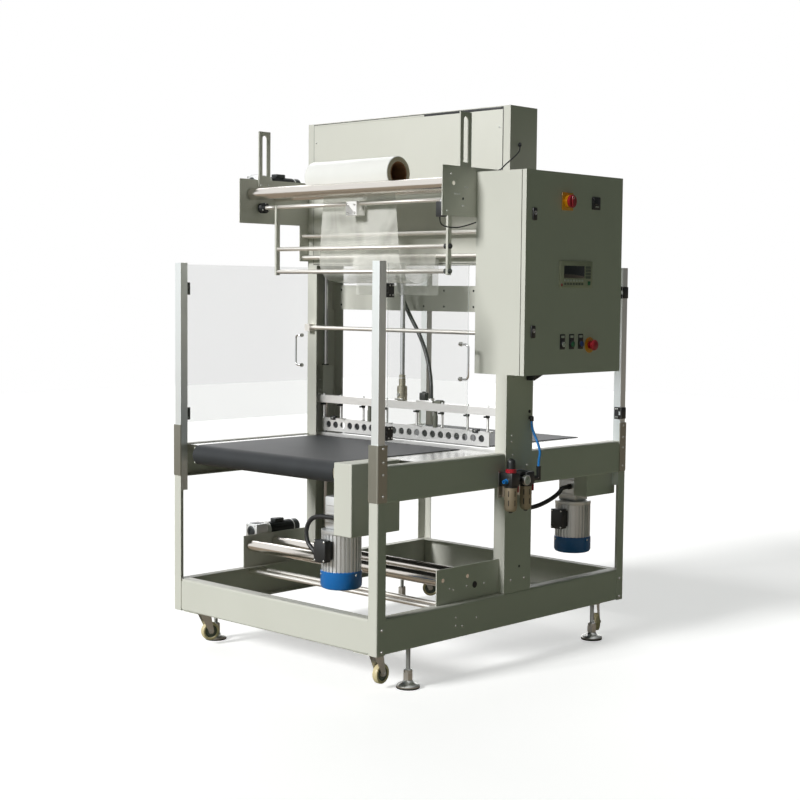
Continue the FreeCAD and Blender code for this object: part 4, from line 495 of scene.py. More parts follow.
def worm_gearmotor(name, place, cover_y):
    """A gearmotor under its belt, whose shaft reaches the drive cover at cover_y."""
    x, y = place
    maker = bmesh.new()
    block(maker, (x - 45, y - 45, 566), (x + 45, y + 45, 690), 7.0)
    for z in (590, 622, 654):
        block(maker, (x - 47.5, y - 34, z), (x + 47.5, y + 34, z + 6), 1.5)
    lathe(maker, (x, y, 645), TO_FRONT, ((40, 0), (40, 36), (51, 36), (53, 34), (53, 22), (49, 20),
                                         (49, 0)))
    lathe(maker, (x, y, 645), TO_REAR, tapered(34, 31, 40, 48, 50))
    for index in range(4):
        turn = math.radians(45 + 90 * index)
        across, up = 28 * math.cos(turn), 28 * math.sin(turn)
        screw(maker, (x + across, y - 53, 645 + up), TO_FRONT, 7, 3)
        screw(maker, (x + across, y + 50, 645 + up), TO_REAR, 7, 3)
        hexagon(maker, (x + 36 * math.copysign(1, across), y + 36 * math.copysign(1, up), 556), DOWN, 7, 6,
                3)
    rod(maker, (x, y - 45, 645), (x, cover_y, 645), 10, 3)
    lathe(maker, (x, y, 412), UP, ((138, 0), (138, 75), (140, 76), (152, 76), (154, 74), (154, 0)), 0, 48)
    finned_body(maker, (x, y, 412), UP, 140, 69, 6, 30, 0)
    lathe(maker, (x, y, 345), UP, ((0, 0), (0, 66), (3, 73), (12, 78), (65, 78), (67, 76), (67, 60),
                                   (75, 60), (75, 0)), 1, 48)
    for index in range(3):
        turn = math.radians(30 + 120 * index)
        screw(maker, (x + 77.5 * math.cos(turn), y + 77.5 * math.sin(turn), 400),
              (math.cos(turn), math.sin(turn), 0), 7, 3)
    # Black bars on the end of the fan cap: painted shade in its air slots.
    for index in range(10):
        turn = math.radians(36 * index)
        slot_x, slot_y = x + 35 * math.cos(turn), y + 35 * math.sin(turn)
        block(maker, (slot_x - 17, slot_y - 2.5, 344.4), (slot_x + 17, slot_y + 2.5, 346), 0.4, 2,
              Matrix.Rotation(turn, 4, "Z"))
    block(maker, (x - 84, y - 24, 460), (x - 66, y + 24, 528), 3.0, 2)
    block(maker, (x - 108, y - 29, 453), (x - 82, y + 29, 535), 4.0, 2)
    block(maker, (x - 115, y - 30, 452), (x - 107, y + 30, 536), 3.0, 2)
    for across in (-24, 24):
        for z in (459, 529):
            lathe(maker, (x - 115, y + across, z), TO_INFEED, tapered(4, 3, -0.5, 1.2, 1.8), 3, 12)
    put_together(name, maker, [die_cast_aluminium, fan_cap_enamel, moulded_black, zinc_plate], "frame",
                 "drive_motors")


worm_gearmotor("infeed_gearmotor", INFEED_MOTOR, 224)
worm_gearmotor("outfeed_gearmotor", OUTFEED_MOTOR, 120)


# Glands: hexagon nylon glands hold the conduits, smaller ones the cables, and a plastic limit switch with a
# metal roller lever sits behind the front cradle plate, where the dancer frame reaches it.
glands = bmesh.new()
gland(glands, (20, 224, 622), (20, 238, 622), 13)
gland(glands, (20, 329, 478), (20, 346.3, 488), 13)
gland(glands, (867, 34, 596), (881, 34, 596), 13)
gland(glands, (1352, 178, 628), (1338, 178, 628), 13)
gland(glands, (790, 670, 1557), (790, 670, 1543), 13)
gland(glands, (762, 0, 2017), (752.4, -8.8, 2007.7), 7)
gland(glands, (590, -38, 1895), (601.3, -38.7, 1904.9), 7)
gland(glands, (705, 29, 1731), (689, 29, 1731), 7)
block(glands, (325, 1, 1722), (351, 34, 1778), 2.5, 0)
block(glands, (327, 0, 1738), (349, 3, 1762), 1.0, 1)
lathe(glands, (338, 17, 1778), UP, ((-1, 0), (-1, 9), (6, 9), (8, 7), (8, 3), (12, 3), (12, 0)), 1, 20)
for across in (330, 346):
    for z in (1727, 1773):
        screw(glands, (across, 34, z), TO_REAR, 4, 1)
put_together("cord_glands", glands, [moulded_black, zinc_plate], "frame", "cable_fittings")
beam_gland = bmesh.new()
gland(beam_gland, (757, 440, 998), (757, 440, 1018), 13)
put_together("beam_gland", beam_gland, [moulded_black], "sealing_head")


# Film gearmotors: a small worm gearbox of bare die-cast aluminium outside each rear plate, a white ring
# flange, and a black finned motor along the belts that turns the cradle's rollers.
ring_enamel = finish("white_ring_enamel", ("#DADAD6", "#E6E6E2"), 60, 3, 0.05, Roughness=0.4, IOR=1.5)
dark_finned_aluminium = finish("black_finned_aluminium", ("#2A2D2E", "#383C3D"), 60, 2.5, 0.15,
                               Metallic=0.5, Roughness=0.4)


def film_gearmotor(name, z):
    """A gearmotor outside the rear plate, with its shaft z above the floor."""
    maker = bmesh.new()
    y = 1162.0
    block(maker, (418, 1127, z - 32), (482, 1197, z + 32), 4.0)
    block(maker, (424, 1140, z - 34), (476, 1184, z + 34), 3.0, 1)
    lathe(maker, (418, y, z), TO_INFEED, ((-1, 0), (-1, 23), (2, 23), (4, 20), (4, 11), (1, 10), (1, 0)),
          1, 28)
    lathe(maker, (450, 1197, z), TO_REAR, drum(20, -3, 0), 1, 28)
    for across in (-25, 25):
        for up in (-25, 25):
            screw(maker, (418, y + across, z + up), TO_INFEED, 6, 3)
    for first in (482, 492, 500):
        lathe(maker, (first, y, z), TO_OUTFEED, ((0, 0), (0, 32), (2, 34), (4.5, 34), (6.5, 32), (6.5, 27),
                                                 (10, 27), (10, 0)), 2, 36)
    finned_body(maker, (506, y, z), TO_OUTFEED, 128, 28.5, 2.5, 20, 1)
    lathe(maker, (634, y, z), TO_OUTFEED, ((-2, 0), (-2, 31), (36, 31), (40, 28), (42, 22), (42, 0)), 1, 36)
    lathe(maker, (634, y, z), TO_OUTFEED, drum(31.4, 4, 9), 0, 36)
    block(maker, (540, y - 16, z + 27), (592, y + 16, z + 44), 3.0, 1)
    put_together(name, maker, [die_cast_aluminium, dark_finned_aluminium, ring_enamel, zinc_plate],
                 "frame", "film_gearmotors")


film_gearmotor("upper_film_gearmotor", 1898.0)
film_gearmotor("lower_film_gearmotor", 423.0)


# Operator's controls on the cabinet door: a keypad panel, a yellow main switch plate with its red knob, a
# black hour meter, three push buttons under blank legend plates, an emergency stop, and two latches.
panel_grey = finish("panel_plastic", ("#A9AA95", "#B3B49F"), 60, 2, 0.06, Roughness=0.45, IOR=1.5)
key_grey = finish("key_plastic", ("#5F665C", "#6B7267"), 30, 2, 0.05, Roughness=0.5, IOR=1.5)
screen_glass = finish("dark_screen_glass", ("#161D1D", "#1E2727"), 40, 6, 0.01, Roughness=0.08, IOR=1.52)
signal_yellow = finish("yellow_switch_plastic", ("#EFA008", "#F5AC14"), 40, 3, 0.03, Roughness=0.32,
                       IOR=1.5)
signal_red = finish("red_knob_plastic", ("#B01A2C", "#BE2433"), 40, 3, 0.03, Roughness=0.3, IOR=1.5)
green_plastic = finish("green_button_plastic", ("#0B6B43", "#127A4E"), 30, 3, 0.03, Roughness=0.35, IOR=1.5)
blue_plastic = finish("blue_button_plastic", ("#143E86", "#1B4A98"), 30, 3, 0.03, Roughness=0.35, IOR=1.5)
pale_plastic = finish("pale_button_plastic", ("#C9CBC6", "#D5D6D2"), 30, 3, 0.03, Roughness=0.35, IOR=1.5)
DOOR_FACE = -241.0
controls = bmesh.new()
PANEL, KEY, SCREEN, YELLOW, RED, GREEN, BLUE, PALE, BLACK, ZINC = range(10)


def door_block(x0, x1, z0, z1, back, front, rounding, slot):
    """A block on the door from back to front, in millimetres out from the door's face."""
    block(controls, (x0, DOOR_FACE - front, z0), (x1, DOOR_FACE - back, z1), rounding, slot)


door_block(709, 909, 1469, 1569, -0.5, 6, 2.0, PANEL)
door_block(714, 904, 1474, 1564, 5, 6.8, 0.8, PANEL)
door_block(730, 856, 1505, 1551, 6, 7.6, 0.6, SCREEN)
for row in range(4):
    door_block(864, 896, 1541 - 12.4 * row, 1551 - 12.4 * row, 6, 8.0, 0.8, KEY)
for row in range(2):
    for key in range(7):
        door_block(731 + 17.6 * key, 744 + 17.6 * key, 1492 - 13 * row, 1500 - 13 * row, 6, 8.0, 0.8,
                   PALE if row == 0 else KEY)
door_block(878, 894, 1479, 1494, 6, 8.4, 1.0, GREEN)
door_block(714, 722, 1474, 1484, 6.5, 7.4, 0.4, RED)
door_block(717, 783, 1756, 1822, -0.5, 5, 3.0, YELLOW)
door_block(727, 735, 1774, 1784, 4, 5.3, 0.2, BLACK)
lathe(controls, (750, DOOR_FACE - 5, 1789), TO_FRONT, tapered(25, 24, -0.5, 12, 13), YELLOW, 40)
door_block(904, 952, 1766, 1814, -0.5, 6, 1.5, BLACK)
door_block(909, 947, 1771, 1809, 6, 8, 1.0, BLACK)
door_block(914, 942, 1784, 1804, 7, 8.3, 0.3, SCREEN)
door_block(918, 938, 1775, 1779, 7.5, 8.6, 0.3, PALE)
for x, colour in ((735, PALE), (791, GREEN), (847, BLUE)):
    door_block(x - 15, x + 15, 1238, 1295, -0.5, 2, 1.0, BLACK)
    door_block(x - 10, x + 10, 1281, 1290, 1.5, 2.5, 0.3, PALE)
    lathe(controls, (x, DOOR_FACE, 1257), TO_FRONT,
          ((1, 0), (1, 14), (6, 14), (8, 12.5), (8, 10.5), (5.5, 10), (5.5, 0)), BLACK, 28)
    lathe(controls, (x, DOOR_FACE, 1257), TO_FRONT,
          ((5, 0), (5, 10), (9, 10), (10.4, 8.6), (11, 5), (11, 0)), colour, 28)
lathe(controls, (904, DOOR_FACE, 1252), TO_FRONT, tapered(30, 29, -0.5, 2.2, 3), YELLOW, 40)
lathe(controls, (904, DOOR_FACE, 1252), TO_FRONT, ((2.5, 0), (2.5, 15), (9, 15), (10, 12), (16, 11),
                                                   (18, 11), (19, 19), (21, 20.5), (27, 20), (31, 16.5),
                                                   (33, 9), (33, 0)), RED, 40)
for z in (1306, 1735):
    door_block(544, 568, z - 23, z + 23, -0.5, 6, 4.0, BLACK)
    lathe(controls, (556, DOOR_FACE - 6, z + 4), TO_FRONT,
          ((-0.5, 0), (-0.5, 8), (1, 8), (1, 6.5), (0.2, 6), (0.2, 0)), ZINC, 20)
    door_block(550, 562, z + 2.8, z + 5.2, 5.9, 7.0, 0.3, BLACK)
put_together("operator_controls", controls, [panel_grey, key_grey, screen_glass, signal_yellow, signal_red,
                                             green_plastic, blue_plastic, pale_plastic, moulded_black,
                                             zinc_plate], "cabinet_door", "door_devices")

# The main switch's knob is a red disc with a raised grip across it.
knob = bmesh.new()
lathe(knob, (750, DOOR_FACE - 18.3, 1789), TO_FRONT,
      ((0, 0), (0, 23), (2, 24), (9, 24), (10.5, 22), (10.5, 20), (9, 19), (9, 0)), 0, 40)
block(knob, (743, DOOR_FACE - 31.8, 1769), (757, DOOR_FACE - 25, 1809), 3.0, 0)
block(knob, (749, DOOR_FACE - 32.2, 1797), (751, DOOR_FACE - 31.6, 1808), 0.2, 1)
put_together("main_switch_knob", knob, [signal_red, pale_plastic], "main_switch", "switch_knob")

# The seam round the door's edge is filled with a black strip in the seal rubber, painted shade in the gap
# between door and body, and a black gusset carries the cabinet on the column.
seal_rubber = finish("black_seal_rubber", ("#141515", "#1D1E1E"), 30, 2, 0.2, Roughness=0.7, IOR=1.52)
door_gap_shade = bmesh.new()
for low, high in (((513, -222, 1150), (519, -219, 1891)), ((1094, -222, 1150), (1100, -219, 1891)),
                  ((519, -222, 1150), (1094, -219, 1156)), ((519, -222, 1885), (1094, -219, 1891))):
    block(door_gap_shade, low, high, 0.8)
put_together("cabinet_door_gap_shade", door_gap_shade, [seal_rubber], "frame")
gusset = bmesh.new()
block(gusset, (822, -42, 1108), (905, -2, 1146))
for vert in gusset.verts:
    if vert.co.x > at(890, 0, 0).x and vert.co.z < at(0, 0, 1130).z:
        vert.co.z = at(0, 0, 1140).z
bmesh.ops.bevel(gusset, geom=gusset.edges[:], offset=0.0012, offset_type="OFFSET", segments=2, profile=0.5,
                affect="EDGES", material=-1)
put_together("cabinet_gusset", gusset, [moulded_black], "frame")


# Film roll: clear polyethylene wound on a brown cardboard core, so it looks glossy white with fine turns
# at its two ends. It lies loose on the two feed rollers.
wound_film = finish("wound_polyethylene_film", ("#E3E3DF", "#ECECE9"), 120, 5, 0.06, Roughness=0.25,
                    IOR=1.5)
core_board = finish("spiral_wound_cardboard", ("#6F4C30", "#8A6242"), 14, 2, 0.35, Roughness=0.85, IOR=1.45)
end_turns = finish("film_end_turns", ("#9A8F76", "#B9AF98"), 6, 2, 0.4, Roughness=0.5, IOR=1.5)
ROLL_AXIS = (450.0, 342.0, 1902.45)
roll = bmesh.new()
lathe(roll, ROLL_AXIS, TO_REAR, ((0.6, 45), (0, 46), (0, 62), (1.5, 64.6), (4, 65), (458, 65),
                                 (460.5, 64.6), (462, 62), (462, 46), (461.4, 45)), 0, 96)
lathe(roll, ROLL_AXIS, TO_REAR, ((0, 40.5), (0, 45.5), (1, 46), (461, 46), (462, 45.5), (462, 40.5),
                                 (461, 40), (1, 40)), 1, 64)
for face in roll.faces:
    middle = face.calc_center_median()
    if face.material_index == 0 and abs(face.normal.y) > 0.9:
        face.material_index = 2
put_together("wound_film_roll", roll, [wound_film, core_board, end_turns], "film_roll",
             "film_roll")


# Film web: the clear film as it hangs, from the roll down between the rollers, round a slack loop and over
# the lower film rod to its loose tail. It is a thin crinkled sheet, so it is half clear and half milky.
film_sheet, film_tree, crinkle, _ = toned("crinkled_clear_film", ("#E6E5DD", "#F3F2EC"),
                                          {"Scale": 1000.0 / 110, "Detail": 2.0, "Distortion": 0.8},
                                          (1.0, 1.0, 0.6), Roughness=0.25, IOR=1.5)
milkiness = add(film_tree, "ShaderNodeMapRange", {1: 0.35, 2: 0.7, 3: 0.38, 4: 0.58}, {0: crinkle})
creases = add(film_tree, "ShaderNodeBump", {"Strength": 0.2, "Distance": 0.002}, {"Height": crinkle})
film_sockets = film_tree.nodes["Principled BSDF"].inputs
film_tree.links.new(milkiness.outputs["Result"], film_sockets["Alpha"])
film_tree.links.new(creases.outputs["Normal"], film_sockets["Normal"])
WEB_WIDTH = 462.0
WEB_TOP_Z, WEB_TAIL = 1838.1, 157.0
WEB_DROP_X = 464.0
WEB_RISE_X = 666.2
WEB_LOOP_RADIUS = (WEB_RISE_X - WEB_DROP_X) / 2.0
WEB_LOOP_Z = 1481.0 + WEB_LOOP_RADIUS
ROD_X, ROD_Z, WEB_WRAP = 676.0, 1591.0, 9.8
WEB_RUNS = (WEB_TOP_Z - WEB_LOOP_Z, math.pi * WEB_LOOP_RADIUS, ROD_Z - WEB_LOOP_Z, math.pi * WEB_WRAP,
            WEB_TAIL)
WEB_LENGTH = sum(WEB_RUNS)


def on_web(s):
    """Where the film is after s millimetres from the roll, with the direction square to it."""
    down, loop, up, wrap, _ = WEB_RUNS
    if s < down:
        return (WEB_DROP_X, WEB_TOP_Z - s), (-1.0, 0.0)
    if s < down + loop:
        turn = (s - down) / WEB_LOOP_RADIUS
        out = (-math.cos(turn), -math.sin(turn))
        return (WEB_DROP_X + WEB_LOOP_RADIUS * (1 + out[0]), WEB_LOOP_Z + WEB_LOOP_RADIUS * out[1]), out
    if s < down + loop + up:
        return (WEB_RISE_X, WEB_LOOP_Z + s - down - loop), (1.0, 0.0)
    if s < down + loop + up + wrap:
        turn = (s - down - loop - up) / WEB_WRAP
        out = (-math.cos(turn), math.sin(turn))
        return (ROD_X + WEB_WRAP * out[0], ROD_Z + WEB_WRAP * out[1]), (-out[0], -out[1])
    return (ROD_X + WEB_WRAP, ROD_Z - (s - down - loop - up - wrap)), (-1.0, 0.0)


web = bmesh.new()
bmesh.ops.create_grid(web, x_segments=150, y_segments=40, size=0.5)
for vert in web.verts:
    s = (vert.co.x + 0.5) * WEB_LENGTH
    across = vert.co.y
    (x, z), out = on_web(s)
    free = min(1.0, s / 120.0) * min(1.0, max(0.0, (WEB_LENGTH - 190.0 - s) / 150.0))
    gathered = 0.86 + 0.14 * min(1.0, s / 330.0)
    wave = 2.2 * free * math.sin(across * 17.0 + s * 0.006) * (0.4 + abs(across) * 1.2)
    tail = max(0.0, (s - WEB_LENGTH + 150.0) / 150.0)
    wave += 2.5 * tail * math.sin(across * 11.0 + 1.0)
    vert.co = at(x + out[0] * wave, 573.0 + WEB_WIDTH * gathered * across, z + out[1] * wave)
web_sheet = put_together("film_web_sheet", web, [film_sheet], "frame", "film_web", 80.0)


# Dancer frame: two flat painted arms hang from a round bar in black flange bearings and carry two satin
# rods with black end caps. An aluminium clamp block is screwed to the bar.
def dressed(name, node, materials, choose):
    """A merged copy of a CAD node that replaces it, each face's material chosen by its middle point."""
    source = frame["nodes"][node]
    maker = bmesh.new()
    maker.from_mesh(source.data)
    bmesh.ops.remove_doubles(maker, verts=maker.verts[:], dist=1e-6)
    for face in maker.faces:
        middle = face.calc_center_median() * 1000.0 + Vector((MIDDLE_X, MIDDLE_Y, 0.0))
        face.material_index = choose(middle)
    put_together(name, maker, materials, source["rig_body"], node, 30.0)


def dancer_finish(p):
    """Black flange bearings, a machined block, painted arms, and satin bars for the rest."""
    away = math.hypot(p.x - 433, p.z - 1792)
    if away < 22.6 and (p.y < 31.5 or p.y > 1091.5):
        return 2
    if abs(p.y - 560) < 31 and 1740 < p.z < 1801:
        return 3
    if (abs(p.y - 65) < 5.2 or abs(p.y - 1018) < 5.2) and abs(p.x - 433) < 10.2:
        return 1
    return 0


dressed("dancer_arms_and_rods", "dancer_frame", [satin_bar, powder_coat, moulded_black,
                                                 machined_aluminium], dancer_finish)
dancer = bmesh.new()
for z in (1526, 1619):
    lathe(dancer, (433, 60, z), TO_FRONT, tapered(9.5, 7, -1, 6, 8), 0, 24)
    lathe(dancer, (433, 70, z), TO_REAR, ((-0.5, 8), (-0.5, 10), (12, 10), (13, 9), (13, 8)), 0, 24)
for y, out in ((31.3, 1), (1091.7, -1)):
    lathe(dancer, (433, y, 1792), (0, out, 0), ((-1, 8.2), (-1, 15), (4, 14), (5, 12), (5, 8.2)), 0, 24)
    for index in range(3):
        turn = math.radians(90 + 120 * index)
        screw(dancer, (433 + 18 * math.cos(turn), y, 1792 + 18 * math.sin(turn)), (0, out, 0), 5, 1)
for y in (541, 579):
    screw(dancer, (410, y, 1788), TO_INFEED, 8, 1)
    screw(dancer, (410, y, 1756), TO_INFEED, 8, 1)
put_together("dancer_caps_and_screws", dancer, [moulded_black, zinc_plate], "dancer")


# Clear doors: 5 mm acrylic sheet with sawn and scraped edges, hung on black plastic hinges with screws in
# both leaves, and pulled by a bent chromed bar.

# Acrylic is clear with a faint grey cast, and its sawn edge is milky.
SMEARS = {"Scale": 1000.0 / 220, "Detail": 3.0}
acrylic_face = toned("clear_acrylic_face", ("#C9CFCC", "#DDE2DF"), SMEARS, Roughness=0.05, IOR=1.49,
                     Alpha=0.11)[0]
acrylic_edge = toned("sawn_acrylic_edge", ("#B9C4BF", "#DDE2DF"), SMEARS, Roughness=0.35, IOR=1.49,
                     Alpha=0.4)[0]
chrome = finish("chromed_steel", ("#D3D5D6", "#E0E1E2"), 90, 5, 0.02, Metallic=1.0, Roughness=0.09)


def acrylic_door(name, node, x1, y0):
    """A clear sheet from the hinge side to x1, with its front face at y0 and milky edges."""
    maker = bmesh.new()
    block(maker, (52, y0, 912), (x1, y0 + 5, 1550), 1.0, 0)
    for face in maker.faces:
        if abs(face.normal.y) < 0.9:
            face.material_index = 1
    put_together(name, maker, [acrylic_face, acrylic_edge], node.replace("_pane", ""),
                 node)


def door_metal(p):
    """The handle stands far from the black hinges and is chromed."""
    return 1 if p.x > 400 else 0


HINGE_HEIGHTS = (946, 1453)
HANDLE_SCREW_HEIGHTS = (1126, 1256)
for side, end, face_y, out in (("front", 486, 6, -1), ("rear", 735, 1143, 1)):
    acrylic_door(side + "_acrylic_sheet", side + "_door_pane", end, face_y)
    dressed(side + "_handle_and_hinges", side + "_door_fittings", [moulded_black, chrome], door_metal)
    hardware = bmesh.new()
    leaf_face = 3 if out < 0 else 1151
    for z in HINGE_HEIGHTS:
        for across in (57, 72):
            for up in (-17, 17):
                screw(hardware, (across, leaf_face, z + up), (0, out, 0), 5)
    for z in HANDLE_SCREW_HEIGHTS:
        lathe(hardware, (end - 43, 6 if out < 0 else 1148, z), (0, out, 0), drum(8, -5.5, -5), 0, 20)
        lathe(hardware, (end - 43, 6 if out < 0 else 1148, z), (0, out, 0),
              ((0, 4), (0, 8.5), (2, 8.5), (3.5, 6.5), (3.5, 4)), 0, 20)
        hexagon(hardware, (end - 43, 11 if out < 0 else 1143, z), (0, -out, 0), 6, 5)
    put_together(side + "_door_screws", hardware, [zinc_plate], side + "_door")
coat(moulded_black, "post_hinge_leaves")
hinges = bmesh.new()
for z in HINGE_HEIGHTS:
    for x, out in ((42, 1), (1458, -1)):
        for y in (17, 25):
            for up in (-17, 17):
                screw(hinges, (x, y, z + up), (out, 0, 0), 5)
    for y in (1137, 1129):
        for up in (-17, 17):
            screw(hinges, (42, y, z + up), TO_OUTFEED, 5)
for z in HINGE_HEIGHTS:
    block(hinges, (1461, -3, z - 24), (1494, 3.5, z + 24), 1.5, 1)
put_together("post_hinge_screws", hinges, [zinc_plate, moulded_black], "frame")


# Air unit on the front column: a filter regulator with its adjusting knob and a second filter, black
# moulded bodies with tan metal bowl guards that have sight slots, a round gauge, red locking tabs, a blue
# push-in port, and an elbow for the blue hose.
bowl_metal = finish("tan_bowl_guard", ("#A2937C", "#B2A48E"), 40, 3, 0.1, Metallic=0.35, Roughness=0.42)
gauge_face = finish("gauge_window", ("#B9BDBD", "#CDD0D0"), 12, 4, 0.05, Roughness=0.15, IOR=1.52)
AIR_Y, PORT_Z = -45, 728.5
air = bmesh.new()
block(air, (659, -4, 662), (820, 0, 762), 1.0, 4)
for x, bowl in ((684, 25), (775, 23)):
    block(air, (x - 25, -70, 708), (x + 25, -4, 761), 6.0, 0)
    block(air, (x - 27, -58, 716), (x + 27, -32, 741), 3.0, 0)
    lathe(air, (x, AIR_Y, 709), DOWN, tapered(bowl + 1, bowl, 0, 5, 6), 0, 36)
    lathe(air, (x, AIR_Y, 704), DOWN, ((0, 0), (0, bowl), (78, bowl), (88, bowl - 3), (93, bowl - 9),
                                       (93, 0)), 1, 44)
    lathe(air, (x, AIR_Y, 612), DOWN, tapered(8, 5, 0, 5, 7), 0, 20)
    # The sight slots are black bars in the seal rubber: painted shade in the openings of the bowl guards.
    for index in range(6):
        turn = math.radians(60 * index - 100)
        direction = Vector((math.cos(turn), math.sin(turn), 0))
        for z in (645, 681):
            centre = Vector((x, AIR_Y, z)) + direction * (bowl - 0.6)
            block(air, (centre.x - 1.2, centre.y - 1.8, z - 11), (centre.x + 1.2, centre.y + 1.8, z + 11),
                  0.6, 5, Matrix.Rotation(turn, 4, "Z"))
    block(air, (x + 17, -66, 684), (x + 25, -54, 709), 2.0, 2)
lathe(air, (684, AIR_Y, 761), UP, tapered(21, 19, -1, 12, 14), 2, 32)
lathe(air, (684, AIR_Y, 765), UP, ((0, 0), (0, 17), (34, 16), (42, 15), (47, 11), (50, 5), (50, 0)), 0, 36)
lathe(air, (744, -68, 729), TO_FRONT, ((-14, 0), (-14, 6), (-2, 6), (-2, 20), (9, 20), (11, 18),
                                       (11, 16.5), (9.5, 16), (9.5, 0)), 4, 36)
lathe(air, (744, -77, 729), TO_FRONT, drum(16.1, -0.3, 1.2), 3, 36)
block(air, (743.4, -78.7, 729), (744.6, -78.0, 741), 0.2, 0, Matrix.Rotation(math.radians(40), 4, "Y"))
rod(air, (684, AIR_Y, PORT_Z), (775, AIR_Y, PORT_Z), 12.5, 0)
rod(air, (775, AIR_Y, PORT_Z), (853, AIR_Y, PORT_Z), 6.5, 4)
lathe(air, (810, AIR_Y, PORT_Z), TO_OUTFEED, ((0, 0), (0, 12), (12, 12), (14, 10), (30, 10), (30, 0)), 0,
      24)
hexagon(air, (799, AIR_Y, PORT_Z), TO_OUTFEED, 11, 10, 4)
lathe(air, (853, AIR_Y, 717), UP, ((0, 0), (2, 9), (50, 9), (53, 10), (56, 10), (56, 5.2)), 0, 28)
lathe(air, (847, -12, 948), UP, ((0, 5.2), (0, 8), (16, 8), (20, 5), (20, 0)), 0, 24)
rod(air, (847, -12, 960), (847, 0, 960), 6.5, 0)
lathe(air, (657, AIR_Y, PORT_Z), TO_INFEED, ((-2, 0), (-2, 10), (3, 10), (3, 8), (16, 8), (18, 7),
                                             (18, 4.5), (8, 4.5), (8, 0)), 6, 24)
for x in (668, 812):
    for z in (669, 755):
        screw(air, (x, -4, z), TO_FRONT, 6, 4)
put_together("air_preparation_unit", air, [moulded_black, bowl_metal, signal_red, gauge_face, zinc_plate,
                                           seal_rubber, blue_hose], "frame", "air_unit")


# Lift rod: the chromed rod of the air cylinder ends in a steel clevis on the sealing beam, held by a cross
# pin, with a lock nut over it.
steel_clevis = drawn_metal("turned_steel_clevis", ("#B5B19F", "#C6C2B1"), (0.05, 1, 1), 0.26)
lift = bmesh.new()
lathe(lift, (750, 597, 999), UP, ((0, 0), (0, 19), (2, 21), (58, 21), (62, 18), (62, 0)), 0, 40)
lathe(lift, (750, 597, 1060), UP, drum(14, 0, 30), 0, 32)
hexagon(lift, (750, 597, 1086), UP, 15, 12, 2)
lathe(lift, (750, 597, 1097), UP, tapered(13, 11, 0, 8, 10), 0, 32)
rod(lift, (750, 597, 1106), (750, 597, 1640), 10, 1, 32)
for out in (-1, 1):
    lathe(lift, (750 + out * 20, 597, 1024), (out, 0, 0), tapered(8, 6.5, -2, 4, 5.5), 2, 24)
block(lift, (728, 575, 1001), (730.5, 619, 1009), 0.6, 2)
put_together("lift_rod_and_clevis", lift, [steel_clevis, chrome, zinc_plate], "sealing_head",
             "lift_rod")


# Sealing beam and bar: on the beam stand a clamp plate, a sensor block and a small terminal box. Spring
# hangers with black heads carry the bar and two grey cylinders damp it. A dark strip behind its holes is
# painted shade for the shadowed inside of the bar.
olive_paint = finish("olive_cylinder_paint", ("#5F6157", "#6F7167"), 30, 2, 0.1, Roughness=0.45, IOR=1.5)
beam = bmesh.new()
block(beam, (732, 412, 998), (768, 502, 1008), 1.0, 0)
block(beam, (734, 455, 1008), (760, 486, 1038), 3.0, 1)
lathe(beam, (747, 471, 1037), UP, tapered(8, 6, 0, 5, 6), 1, 20)
block(beam, (736, 372, 999), (764, 404, 1009), 1.5, 3)
block(beam, (739, 376, 1007), (761, 400, 1012), 1.0, 1)
for y in (114, 215, 489, 659, 937, 1064):
    lathe(beam, (750, y, 901), UP, tapered(9, 7, -3, 2, 3), 2, 20)
for y in (131, 236, 372, 508, 686, 822, 958, 1063):
    lathe(beam, (750, y, 901), UP, tapered(8, 6, 0, 3, 4), 2, 18)
    lathe(beam, (750, y, 955), UP, ((0, 0), (0, 7), (2, 8), (10, 8), (12.2, 8), (12.2, 0)), 1, 18)
    block(beam, (727, y - 4, 957), (752, y + 4, 964), 1.5, 1)
    screw(beam, (750, y, 999), UP, 11, 2)
for y in (410, 784):
    lathe(beam, (750, y, 900), UP, ((0, 0), (0, 10), (4, 10.5), (46, 10.5), (48, 9), (67.2, 9), (67.2, 0)),
          3, 28)
for y in (191, 1003):
    block(beam, (741, y - 13, 893), (759, y + 13, 909), 2.0, 1)
    screw(beam, (741, y, 901), TO_INFEED, 7, 2)
for y in (38, 1085):
    for x in (735, 765):
        hexagon(beam, (x, y, 999), UP, 7, 5, 2)
# A black strip in four lengths behind the bar's holes: painted shade for the shadowed inside of the bar.
for low_y, high_y in ((132, 200), (252, 486), (532, 921), (966, 1062)):
    block(beam, (752.3, low_y, 853), (753.6, high_y, 891), 0.3, 1)
put_together("beam_fittings", beam, [machined_aluminium, moulded_black, zinc_plate, olive_paint],
             "sealing_head")
carriages = bmesh.new()
for y, out in ((9.5, -1), (1113.5, 1)):
    for x in (768, 804):
        for z in (1018, 1062, 1106):
            screw(carriages, (x, y, z), (0, out, 0), 7)
for y in (27.5, 1095.5):
    for low, high in ((999, 1001.5), (1126, 1130)):
        lathe(carriages, (786, y, low), UP, ((0, 11), (0, 16), (high - low, 15.5), (high - low, 11)), 1, 28)
    for z in (1018, 1062, 1106):
        screw(carriages, (756, y, z), TO_INFEED, 7)
put_together("carriage_screws", carriages, [zinc_plate, seal_rubber], "sealing_head")


